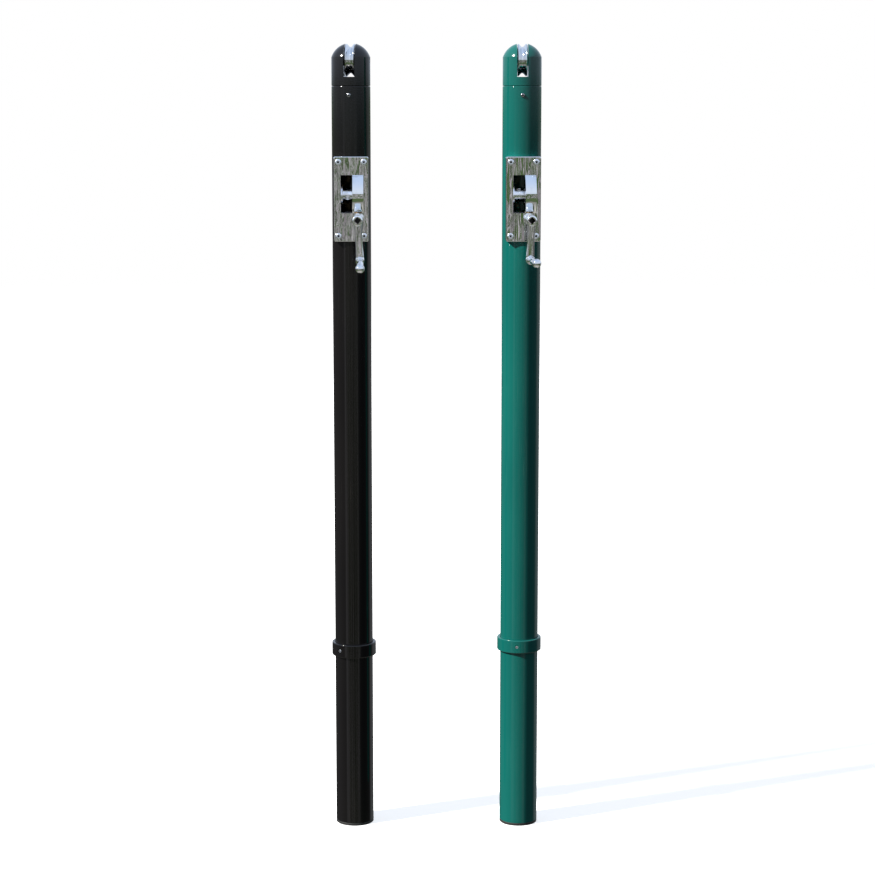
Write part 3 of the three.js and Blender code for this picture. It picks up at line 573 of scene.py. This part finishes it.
def plasticMaterial():
    material, tree, shader = newMaterial("mouldedPlastic")
    mottle = objectNoise(tree, 260, (1, 1, 1), 3.0)
    shade = newNode(tree, "ShaderNodeMix", data_type="RGBA")
    shade.inputs["A"].default_value = (0.016, 0.016, 0.016, 1)
    shade.inputs["B"].default_value = (0.030, 0.030, 0.029, 1)
    tree.links.new(mottle.outputs["Fac"], shade.inputs["Factor"])
    tree.links.new(shade.outputs["Result"], shader.inputs["Base Color"])
    tree.links.new(rangeOf(tree, mottle.outputs["Fac"], 0.3, 0.7, 0.45, 0.62), shader.inputs["Roughness"])
    addBump(tree, shader, mottle.outputs["Fac"], 0.25, 0.0003)
    return material


finishes = {f"{name}Coat": coatMaterial(name) for name in postNames}
finishes.update({name: metalMaterial(name) for name in metals})
finishes["mouldedPlastic"] = plasticMaterial()
print("materials made:", len(finishes))


def putOn(post, part, master, matrix, finish, body="posts", inner=None):
    # one copy of a master piece for a post, standing for the node of the same name in the frame
    name = post + "".join(word.title() for word in part.split("_"))
    item = copyPiece(master, name, matrix)
    inside = [face.material_index for face in item.data.polygons]
    item.data.materials.clear()
    item.data.materials.append(finishes[finish])
    # the inner finish paints shade on the faces inside a socket
    if inner:
        item.data.materials.append(finishes[inner])
        item.data.polygons.foreach_set("material_index", inside)
    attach(item, body)
    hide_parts(f"{post}_{part}")
    return item


def drop(*masters):
    for master in masters:
        bpy.data.objects.remove(master)


# tube and foot plug

tubeSizes = {
    "radius": 0.0365, "bore": 0.0335, "topRound": 0.0012, "openingHalfWidth": 0.0279,
    "openingBottom": -0.0510, "openingTop": 0.0472, "openingDepth": 0.0133, "capHole": 0.0028,
    "capScrewDrop": 0.0167, "plateHole": 0.0033, "edge": 0.0003,
}
plateScrewAt = {"top_left": (-0.024, 0.069), "top_right": (0.024, 0.069),
                "bottom_left": (-0.024, -0.069), "bottom_right": (0.024, -0.069)}


def makeTube(post):
    place, sizes = places[post], tubeSizes
    top, bottom, radius = place["tubeTop"], place["plugTop"], sizes["radius"]
    tube = turnedPiece("tubeMaster", [
        (sizes["bore"], bottom), (radius - sizes["edge"], bottom), (radius, bottom + sizes["edge"]),
        *cornerArc(radius - sizes["topRound"], top - sizes["topRound"], sizes["topRound"], 0, 90),
        (sizes["bore"], top),
        (sizes["bore"], bottom),
    ], 128)
    middle = place["plateMiddle"]
    opening = boxPiece(
        "opening", (-sizes["openingHalfWidth"], -0.06, middle + sizes["openingBottom"]),
        (sizes["openingHalfWidth"], -sizes["openingDepth"], middle + sizes["openingTop"]), 1, 0.004,
    )
    turn = turnAbout("Z", place["capTurn"])
    screwHeight = top - sizes["capScrewDrop"]
    capHole = settle(
        rodPiece("capHole", sizes["capHole"], (0, -0.05, screwHeight), (0, 0.05, screwHeight), 24), turn,
    )
    holes = [rodPiece("plateHole", sizes["plateHole"], (x, -0.05, middle + z), (x, 0, middle + z), 24)
             for x, z in plateScrewAt.values()]
    carve(tube, opening, capHole, *holes)
    smoothShade(tube)
    putOn(post, "tube", tube, place["stand"], f"{post}Coat")
    drop(tube)


plugSizes = {"radius": 0.0365, "spigot": 0.0332, "wall": 0.003, "flange": 0.005, "spigotHeight": 0.026,
             "edge": 0.0008}


def makeFootPlug():
    sizes = plugSizes
    inner = sizes["spigot"] - sizes["wall"]
    top = sizes["flange"] + sizes["spigotHeight"]
    plug = turnedPiece("plugMaster", [
        (0, 0), (sizes["radius"] - sizes["edge"], 0), (sizes["radius"], sizes["edge"]),
        (sizes["radius"], sizes["flange"] - sizes["edge"] / 2),
        (sizes["radius"] - sizes["edge"] / 2, sizes["flange"]),
        (sizes["spigot"], sizes["flange"]), (sizes["spigot"], top - 0.002), (sizes["spigot"] - 0.001, top),
        (inner, top), (inner, sizes["flange"]), (0, sizes["flange"]),
    ], 96)
    smoothShade(plug)
    for post in postNames:
        putOn(post, "foot_plug", plug, places[post]["stand"], "mouldedPlastic")
    drop(plug)


# cap with sheave

capSizes = {
    "spigotBottom": -0.038, "lipChamfer": 0.0008, "gap": 0.0003, "shoulder": 0.053, "dome": 0.02675,
    "wall": 0.004,
    "slotHalf": 0.0105, "slotFloor": 0.017, "floorUnder": 0.012, "cheek": 0.004, "pinHole": 0.0053,
    "edge": 0.0007,
}


def domeArc(rim, height, rise, steps):
    radius = (rim**2 + rise**2) / (2 * rise)
    centre = height + rise - radius
    start = math.atan2(height - centre, rim)
    angles = [start + (math.pi / 2 - start) * step / steps for step in range(steps)]
    return [(radius * math.cos(a), centre + radius * math.sin(a)) for a in angles] + [(0, height + rise)]


def makeCap():
    sizes, radius, spigot = capSizes, tubeSizes["radius"], plugSizes["spigot"]
    cap = turnedPiece("capMaster", [
        (0, sizes["spigotBottom"]), (spigot, sizes["spigotBottom"]), (spigot, sizes["gap"]),
        (radius - sizes["lipChamfer"], sizes["gap"]), (radius, sizes["gap"] + sizes["lipChamfer"]),
        *domeArc(radius, sizes["shoulder"], sizes["dome"], 22),
    ], 128)
    inner = spigot - sizes["wall"]
    core = turnedPiece("capCore", [
        (0, sizes["spigotBottom"] - 0.001), (inner, sizes["spigotBottom"] - 0.001), (inner, sizes["wall"]),
        *domeArc(inner, sizes["shoulder"], sizes["dome"] - sizes["wall"], 10),
    ], 64)
    cheekX = sizes["slotHalf"] + sizes["cheek"]
    carve(core, boxPiece("slotBlock", (-cheekX, -0.06, sizes["floorUnder"]), (cheekX, 0.06, 0.12)))
    slot = boxPiece(
        "slot", (-sizes["slotHalf"], -0.06, sizes["slotFloor"]), (sizes["slotHalf"], 0.06, 0.12),
        1, 0.0012, 4,
    )
    pinHole = rodPiece(
        "pinHole", sizes["pinHole"], (-0.06, 0, one["sheaveHeight"]), (0.06, 0, one["sheaveHeight"]), 32,
    )
    cableHole = boxPiece("cableHole", (-0.006, -0.0292, 0.010), (0.006, -0.0132, 0.018), 2, 0.004)
    screwZ = -tubeSizes["capScrewDrop"]
    screwHole = rodPiece("screwHole", tubeSizes["capHole"], (0, -0.05, screwZ), (0, 0.05, screwZ), 24)
    carve(cap, core, slot, pinHole, cableHole, screwHole)
    tidyMesh(cap)
    roundEdges(cap, sizes["edge"], 2, 40)
    smoothShade(cap, 30)
    for post in postNames:
        putOn(post, "cap", cap, places[post]["cap"], f"{post}Coat")
    drop(cap)


sheaveSizes = {"radius": 0.030, "half": 0.0090, "bore": 0.0051, "root": 0.0243, "rootHalf": 0.0020,
               "land": 0.0014, "edge": 0.0006}


def makeSheave():
    sizes = sheaveSizes
    radius, half, edge = sizes["radius"], sizes["half"], sizes["edge"]
    lip = half - 0.001 - sizes["land"]
    arc = [(sizes["root"] + 0.0004 * (1 - math.cos(a)) * 2, sizes["rootHalf"] * math.sin(a))
           for a in (-1.2, -0.6, 0, 0.6, 1.2)]
    sheave = turnedPiece("sheaveMaster", [
        (sizes["bore"], -half), (0.0095, -half), (0.0105, -half + 0.0012), (0.0225, -half + 0.0012),
        (0.0235, -half), (radius - 0.001, -half), (radius, -half + 0.001), (radius, -lip),
        *arc, (radius, lip), (radius, half - 0.001), (radius - 0.001, half), (0.0235, half),
        (0.0225, half - 0.0012), (0.0105, half - 0.0012), (0.0095, half), (sizes["bore"], half),
        (sizes["bore"], -half),
    ], 96)
    roundEdges(sheave, edge, 3, 25)
    smoothShade(sheave, 40)
    pinEnd = tubeSizes["radius"] - 0.0007
    pin = turnedPiece("pinMaster", [
        (0, -pinEnd + 0.0012), (0.0016, -pinEnd + 0.0012), (0.0024, -pinEnd), (0.0043, -pinEnd),
        (0.005, -pinEnd + 0.0007), (0.005, pinEnd - 0.0007), (0.0043, pinEnd), (0.0024, pinEnd),
        (0.0016, pinEnd - 0.0012), (0, pinEnd - 0.0012),
    ], 48)
    smoothShade(pin)
    washers = {}
    for side, (low, high) in {"left": (-0.0102, -0.0093), "right": (0.0093, 0.0102)}.items():
        washer = turnedPiece("washerMaster", [
            (0.0053, low), (0.0107, low), (0.011, low + 0.0003), (0.011, high - 0.0003), (0.0107, high),
            (0.0053, high), (0.0053, low),
        ], 64)
        washers[side] = smoothShade(washer)
    for post in postNames:
        place = places[post]["cap"] @ Matrix.Translation((0, 0, places[post]["sheaveHeight"])) @ toX
        putOn(post, "sheave", sheave, place, "turnedChrome", f"{post}_sheave_body")
        putOn(post, "sheave_pin", pin, place, "machinedSteel")
        for side, washer in washers.items():
            putOn(post, f"sheave_washer_{side}", washer, place, "machinedSteel")
    drop(sheave, pin, *washers.values())


def makeCapScrews():
    screw = turnedPiece("capScrewMaster", [
        (0, -0.0075), (0.0021, -0.0075), (0.0025, -0.0071), (0.0025, 0), (0.0037, 0), (0.0039, 0.0003),
        (0.0038, 0.0009), (0.0034, 0.0015), (0.0028, 0.0020), (0.0022, 0.0022), (0, 0.0022),
    ], 48)
    carve(screw, hexSocket(0.003, 0.0007, 0.004))
    smoothShade(screw)
    # the hex socket's walls get the near-black finish as painted shade
    innerFinish(screw, lambda at, out: at.xy.length < 0.0018 and at.z > 0.0005)
    for post in postNames:
        for side, turn in (("front", 0), ("back", math.pi)):
            at = Matrix.Translation((0, -tubeSizes["radius"] - 0.0003, -tubeSizes["capScrewDrop"]))
            putOn(post, f"cap_screw_{side}", screw, places[post]["cap"] @ turnAbout("Z", turn) @ at @ toFront,
                  "screwSteel", inner="greasedSteelAndPaintedSocketShade")
    drop(screw)


for post in postNames:
    makeTube(post)
makeFootPlug()
makeCap()
makeSheave()
makeCapScrews()
print("tubes, plugs and caps made")


# winch plate with its gear cover

plateSizes = {
    "halfWidth": 0.0328, "halfHeight": 0.07925, "front": -0.0410, "wall": 0.004, "depth": 0.023,
    "corner": 0.0034, "edge": 0.0014, "saddle": 0.0368, "coverRadius": 0.0450, "coverWall": 0.003,
    "coverWidth": 0.0205, "coverSide": 0.0025, "coverFrom": 0.0026, "coverAboveShaft": 0.0023,
    "windowWidth": 0.0221, "pocketHalf": 0.0276, "pocketLow": -0.0491, "pocketHigh": 0.0467,
    "bushHole": 0.0083, "hubRelief": 0.0108, "lip": 0.0007,
}


def countersink(x, z):
    hole = turnedPiece("countersink", [
        (0, -0.05), (0.0033, -0.05), (0.0033, -0.0026), (0.0059, 0), (0.0059, 0.002), (0, 0.002),
    ], 48)
    return settle(hole, Matrix.Translation((x, plateSizes["front"], z)) @ toFront)


def makeWinchPlate():
    sizes = plateSizes
    drumAt, wormAt = one["drumAt"], one["wormAt"]
    front, shaftY, shaftZ = sizes["front"], drumAt.y, drumAt.z
    plate = boxPiece(
        "plateMaster", (-sizes["halfWidth"], front, -sizes["halfHeight"]),
        (sizes["halfWidth"], front + sizes["depth"], sizes["halfHeight"]), 1, sizes["corner"], 6,
    )
    pickEdges(plate, lambda a, b: a.y < front + 0.0001 and b.y < front + 0.0001)
    bpy.ops.mesh.bevel(offset=sizes["edge"], segments=5, affect="EDGES")
    bpy.ops.object.mode_set(mode="OBJECT")
    coverZ = shaftZ + sizes["coverAboveShaft"]
    low, high = sizes["coverFrom"], sizes["coverFrom"] + sizes["coverWidth"]
    cover = rodPiece("cover", sizes["coverRadius"], (low, shaftY, coverZ), (high, shaftY, coverZ), 192)
    pickOnly(cover)
    bpy.ops.object.mode_set(mode="EDIT")
    bpy.ops.mesh.select_all(action="SELECT")
    bpy.ops.mesh.bisect(plane_co=(0, front + 0.001, 0), plane_no=(0, 1, 0), clear_outer=True, use_fill=True)
    bpy.ops.object.mode_set(mode="OBJECT")
    tidyMesh(cover)
    carve(plate, cover, operation="UNION")
    half = math.sqrt(sizes["coverRadius"]**2 - (front - shaftY)**2)
    hollow = rodPiece(
        "hollow", sizes["coverRadius"] - sizes["coverWall"], (low + sizes["coverSide"], shaftY, coverZ),
        (high - sizes["coverSide"], shaftY, coverZ), 128,
    )
    saddle = rodPiece("saddle", sizes["saddle"], (0, 0, -0.1), (0, 0, 0.1), 128)
    pocket = boxPiece(
        "pocket", (-sizes["pocketHalf"], front + sizes["wall"], sizes["pocketLow"]),
        (sizes["pocketHalf"], 0, sizes["pocketHigh"]), 1, 0.003, 4,
    )
    window = boxPiece(
        "window", (low - sizes["windowWidth"], front - 0.001, coverZ - half), (low, 0, coverZ + half),
        1, 0.0012, 4,
    )
    bushHole = rodPiece(
        "bushHole", sizes["bushHole"], (wormAt.x, front - 0.001, wormAt.z), (wormAt.x, 0, wormAt.z), 64,
    )
    relief = rodPiece(
        "relief", sizes["hubRelief"], (wormAt.x, -0.09, wormAt.z), (wormAt.x, front - 0.0017, wormAt.z), 64,
    )
    screwHoles = [countersink(x, z) for x, z in plateScrewAt.values()]
    carve(plate, hollow, saddle, pocket, window, bushHole, relief, *screwHoles)
    tidyMesh(plate)
    roundEdges(plate, sizes["lip"], 3, 38)
    smoothShade(plate, 30)
    for post in postNames:
        putOn(post, "winch_plate", plate, places[post]["winch"], "polishedChrome")
    drop(plate)


def makePlateScrews():
    screw = turnedPiece("plateScrewMaster", [
        (0, -0.021), (0.0024, -0.021), (0.003, -0.0204), (0.003, -0.0026), (0.0056, 0), (0.0056, 0.0005),
        (0.0052, 0.0009), (0.0042, 0.0011), (0.0028, 0.0011), (0, 0.0011),
    ], 48)
    carve(screw, hexSocket(0.004, -0.0009, 0.004))
    smoothShade(screw)
    # the hex socket's walls get the near-black finish as painted shade
    innerFinish(screw, lambda at, out: at.xy.length < 0.0023 and -0.0012 < at.z < 0.0009)
    for post in postNames:
        for corner, (x, z) in plateScrewAt.items():
            at = Matrix.Translation((x, plateSizes["front"], z)) @ toFront
            putOn(post, f"plate_screw_{corner}", screw, places[post]["winch"] @ at, "platedSteel",
                  inner="greasedSteelAndPaintedSocketShade")
    drop(screw)


# drum, shaft, bushes

drumSizes = {"flange": 0.0205, "core": 0.0125, "left": -0.020, "right": 0.0062, "flangeWidth": 0.0038,
             "bore": 0.0063, "holeRadius": 0.004, "holeBottom": 0.0075,
             "holeTurn": {"black": 24, "green": -58}}


def makeDrum():
    sizes = drumSizes
    left, right, width = sizes["left"], sizes["right"], sizes["flangeWidth"]
    drum = turnedPiece("drumMaster", [
        (sizes["bore"], left), (sizes["flange"], left), (sizes["flange"], left + width),
        (sizes["core"] + 0.0006, left + width), (sizes["core"], left + width + 0.0006),
        (sizes["core"], right - width - 0.0006), (sizes["core"] + 0.0006, right - width),
        (sizes["flange"], right - width), (sizes["flange"], right), (sizes["bore"], right),
        (sizes["bore"], left),
    ], 96)
    middle = (left + right) / 2
    hole = turnedPiece("cableHole", [
        (0, sizes["holeBottom"]), (sizes["holeRadius"], sizes["holeBottom"]),
        (sizes["holeRadius"], sizes["core"] - 0.0012), (sizes["holeRadius"] + 0.0012, sizes["core"]),
        (sizes["holeRadius"] + 0.0012, sizes["flange"]), (0, sizes["flange"]),
    ], 48)
    settle(drum, toX)
    settle(hole, Matrix.Translation((middle, 0, 0)) @ toFront)
    carve(drum, hole)
    tidyMesh(drum)
    roundEdges(drum, 0.0006, 3, 35)
    smoothShade(drum, 35)
    for post in postNames:
        turn = turnAbout("X", math.radians(sizes["holeTurn"][post]))
        putOn(post, "drum", drum, drumPlace(post) @ turn, "drumSteel", f"{post}_drum_body")
    drop(drum)


def drumPlace(post):
    at = places[post]["drumAt"]
    return places[post]["winch"] @ Matrix.Translation((0, at.y, at.z))


def makeShaftParts():
    end = 0.0274
    shaft = turnedPiece("shaftMaster", [
        (0, -end), (0.0054, -end), (0.006, -end + 0.0006), (0.006, end - 0.0006), (0.0054, end), (0, end),
    ], 48)
    smoothShade(shaft)
    bush = turnedPiece("bushMaster", [
        (0.0061, 0.0217), (0.0091, 0.0217), (0.0095, 0.0221), (0.0095, 0.0233), (0.0091, 0.0237),
        (0.008, 0.0237), (0.008, 0.027), (0.0061, 0.027), (0.0061, 0.0217),
    ], 48)
    smoothShade(bush)
    for post in postNames:
        putOn(post, "drum_shaft", shaft, drumPlace(post) @ toX, "machinedSteel", f"{post}_drum_body")
        putOn(post, "shaft_bush_right", bush, drumPlace(post) @ toX, "bearingBronze")
        putOn(post, "shaft_bush_left", bush, drumPlace(post) @ turnAbout("Z", math.pi) @ toX, "bearingBronze")
    drop(shaft, bush)


def refineNode(node, edge):
    # a clean copy of a machined piece from the frame, with its edges broken
    item = frame["nodes"][node].copy()
    item.data = item.data.copy()
    for key in list(item.keys()):
        del item[key]
    item.parent = None
    bpy.context.scene.collection.objects.link(item)
    item.hide_render = False
    tidyMesh(item)
    finishModifier(item, "DECIMATE", decimate_type="DISSOLVE", angle_limit=math.radians(1))
    roundEdges(item, edge, 2, 30)
    return smoothShade(item, 32)


def makeGearing():
    for post in postNames:
        for part, edge, finish, body in (
            ("winch_bracket", 0.0005, "machinedSteel", "posts"),
            ("worm_wheel", 0.00025, "bearingBronze", f"{post}_drum_body"),
            ("worm", 0.0002, "greasedSteelAndPaintedSocketShade", f"{post}_worm_body"),
            ("worm_bush_rear", 0.0003, "bearingBronze", "posts"),
            ("worm_bush_front", 0.0003, "bearingBronze", "posts"),
        ):
            item = refineNode(f"{post}_{part}", edge)
            putOn(post, part, item, Matrix.Identity(4), finish, body)
            drop(item)


# crank and grip

crankSizes = {
    "hubRadius": 0.0098, "hubFront": -0.0790, "hubRear": -0.0430, "armRear": -0.0640, "armThickness": 0.012,
    "throw": 0.073, "hubWidth": 0.0162, "waistWidth": 0.0136, "bossRadius": 0.008, "socketHalf": 0.0049,
    "pinHole": 0.0033, "voxel": 0.0006,
}


def makeCrank(post):
    sizes = crankSizes
    front, rear = sizes["armRear"] - sizes["armThickness"], sizes["armRear"]
    arm = boxPiece(
        "armMaster", (-0.5 * sizes["hubWidth"], front, -sizes["throw"]), (0.5 * sizes["hubWidth"], rear, 0),
    )
    levels = 10
    pickOnly(arm)
    bpy.ops.object.mode_set(mode="EDIT")
    for level in range(1, levels):
        bpy.ops.mesh.select_all(action="SELECT")
        height = -sizes["throw"] * level / levels
        bpy.ops.mesh.bisect(plane_co=(0, 0, height), plane_no=(0, 0, 1))
    bpy.ops.object.mode_set(mode="OBJECT")
    for level in range(1, levels + 1):
        share = level / levels
        height = -sizes["throw"] * share
        waist = math.sin(math.pi * min(share, 0.92)) ** 0.8
        pinch = 1 - (1 - sizes["waistWidth"] / sizes["hubWidth"]) * waist
        pickEdges(arm, lambda a, b: abs(a.z - height) < 0.0001 and abs(b.z - height) < 0.0001)
        bpy.ops.transform.resize(value=(pinch, 1, 1), center_override=(0, 0, height))
        bpy.ops.object.mode_set(mode="OBJECT")
    roundEdges(arm, 0.0028, 4, 50)
    hub = turnedPiece("hub", [
        (0, sizes["hubFront"]), (0.0080, sizes["hubFront"]), (0.0092, sizes["hubFront"] + 0.0005),
        (sizes["hubRadius"], sizes["hubFront"] + 0.0016), (sizes["hubRadius"], sizes["hubRear"] - 0.0014),
        (sizes["hubRadius"] - 0.0014, sizes["hubRear"]), (0, sizes["hubRear"]),
    ], 96)
    settle(hub, turnAbout("X", -math.pi / 2))
    boss = turnedPiece("boss", [
        (0, front), (sizes["bossRadius"] - 0.0016, front), (sizes["bossRadius"] - 0.0004, front + 0.0005),
        (sizes["bossRadius"], front + 0.0018), (sizes["bossRadius"], rear - 0.0018),
        (sizes["bossRadius"] - 0.0018, rear), (0, rear),
    ], 96)
    settle(boss, Matrix.Translation((0, 0, -sizes["throw"])) @ turnAbout("X", -math.pi / 2))
    carve(arm, hub, boss, operation="UNION")
    finishModifier(arm, "REMESH", mode="VOXEL", voxel_size=sizes["voxel"])
    finishModifier(arm, "SMOOTH", factor=0.5, iterations=5)
    half = sizes["socketHalf"]
    socket = boxPiece(
        "socket", (-half, sizes["hubFront"] - 0.001, -half), (half, sizes["hubRear"] + 0.001, half),
    )
    settle(socket, turnAbout("Y", math.pi / 4))
    pinAxis = places[post]["crank"].inverted().to_3x3() @ places[post]["grip"].to_3x3() @ Vector((0, 0, 1))
    middle = Vector((0, (front + rear) / 2, -sizes["throw"]))
    pinHole = rodPiece("pinHole", sizes["pinHole"], middle - pinAxis * 0.012, middle + pinAxis * 0.012, 32)
    carve(arm, socket, pinHole)
    smoothShade(arm, 45)
    reach = 0.004 + half * math.sqrt(2)
    # the square socket's walls get the near-black finish as painted shade
    innerFinish(arm, lambda at, out: math.hypot(at.x, at.z) < reach and abs(out.y) < 0.5
                and abs(at.x * out.x + at.z * out.z + half) < 0.0006)
    putOn(post, "crank_arm", arm, places[post]["crank"], "polishedChrome", f"{post}_crank_body",
          inner="greasedSteelAndPaintedSocketShade")
    drop(arm)


gripSizes = {"start": 0.0086, "collar": 0.0080, "collarWidth": 0.004, "neck": 0.0050, "belly": 0.0064,
             "reach": 0.054, "ball": 0.0085, "bore": 0.00335, "boreEnd": 0.0403}


def makeGrip():
    sizes = gripSizes
    collarEnd = sizes["start"] + sizes["collarWidth"]
    bodyEnd = sizes["reach"] - sizes["ball"]
    neckAngle = math.acos(sizes["neck"] / sizes["ball"])
    arc = [-neckAngle + (math.pi / 2 + neckAngle) * step / 22 for step in range(22)]
    ball = [(sizes["ball"] * math.cos(a), sizes["reach"] + sizes["ball"] * math.sin(a)) for a in arc]
    body = []
    for step in range(1, 12):
        share = step / 12
        swell = math.sin(math.pi * share) ** 1.3
        body.append((sizes["neck"] + (sizes["belly"] - sizes["neck"]) * swell,
                     collarEnd + 0.0008 + (bodyEnd + 0.001 - collarEnd) * share))
    grip = turnedPiece("gripMaster", [
        (0, sizes["start"]), (sizes["collar"] - 0.0008, sizes["start"]),
        (sizes["collar"], sizes["start"] + 0.0008), (sizes["collar"], collarEnd - 0.0008),
        (sizes["collar"] - 0.0008, collarEnd), (sizes["neck"] + 0.0008, collarEnd),
        (sizes["neck"], collarEnd + 0.0008),
        *body, *ball, (0, sizes["reach"] + sizes["ball"]),
    ], 64)
    carve(grip, rodPiece(
        "gripBore", sizes["bore"], (0, 0, sizes["start"] - 0.002), (0, 0, sizes["boreEnd"]), 32,
    ))
    smoothShade(grip, 40)
    pin = turnedPiece("gripPinMaster", [
        (0, -0.0102), (0.0030, -0.0102), (0.0043, -0.0098), (0.0048, -0.0090), (0.0048, -0.0086),
        (0.003, -0.0086), (0.003, 0.0395), (0.0025, 0.040), (0, 0.040),
    ], 48)
    smoothShade(pin)
    for post in postNames:
        putOn(post, "crank_grip", grip, places[post]["grip"], "turnedChrome", f"{post}_grip_body")
        putOn(post, "grip_pin", pin, places[post]["grip"], "machinedSteel", f"{post}_crank_body")
    drop(grip, pin)


# ground collar

collarSizes = {"inner": 0.0370, "outer": 0.04264, "half": 0.0127, "edge": 0.0018, "hole": 0.0033}


def makeCollar():
    sizes = collarSizes
    inner, outer, half, edge = sizes["inner"], sizes["outer"], sizes["half"], sizes["edge"]
    collar = turnedPiece("collarMaster", [
        (inner + 0.0005, -half), *cornerArc(outer - edge, edge - half, edge, -90, 0),
        *cornerArc(outer - edge, half - edge, edge, 0, 90),
        (inner + 0.0005, half), (inner, half - 0.0005), (inner, 0.0005 - half), (inner + 0.0005, -half),
    ], 128)
    hole = rodPiece("screwHole", sizes["hole"], (0, -0.05, 0), (0, -0.03, 0), 32)
    carve(collar, hole)
    roundEdges(collar, 0.0005, 3, 30)
    smoothShade(collar, 32)
    low, high = 0.0368, outer - 0.0005
    screw = turnedPiece("collarScrewMaster", [
        (0, low), (0.0018, low), (0.003, low + 0.0010), (0.003, high - 0.0005), (0.0025, high), (0, high),
    ], 48)
    carve(screw, hexSocket(0.003, high - 0.003, high + 0.002))
    smoothShade(screw)
    # the hex socket's walls get the near-black finish as painted shade
    innerFinish(screw, lambda at, out: at.xy.length < 0.0018 and at.z > high - 0.0032 and abs(out.z) < 0.99)
    for post in postNames:
        putOn(post, "collar", collar, places[post]["collar"], f"{post}Coat", f"{post}_collar_body")
        putOn(post, "collar_screw", screw, places[post]["collar"] @ toFront, "platedSteel",
              f"{post}_collar_body", inner="greasedSteelAndPaintedSocketShade")
    drop(collar, screw)


makeWinchPlate()
makePlateScrews()
makeDrum()
makeShaftParts()
makeGearing()
print("winches made")
for post in postNames:
    makeCrank(post)
makeGrip()
makeCollar()
print("cranks and collars made")
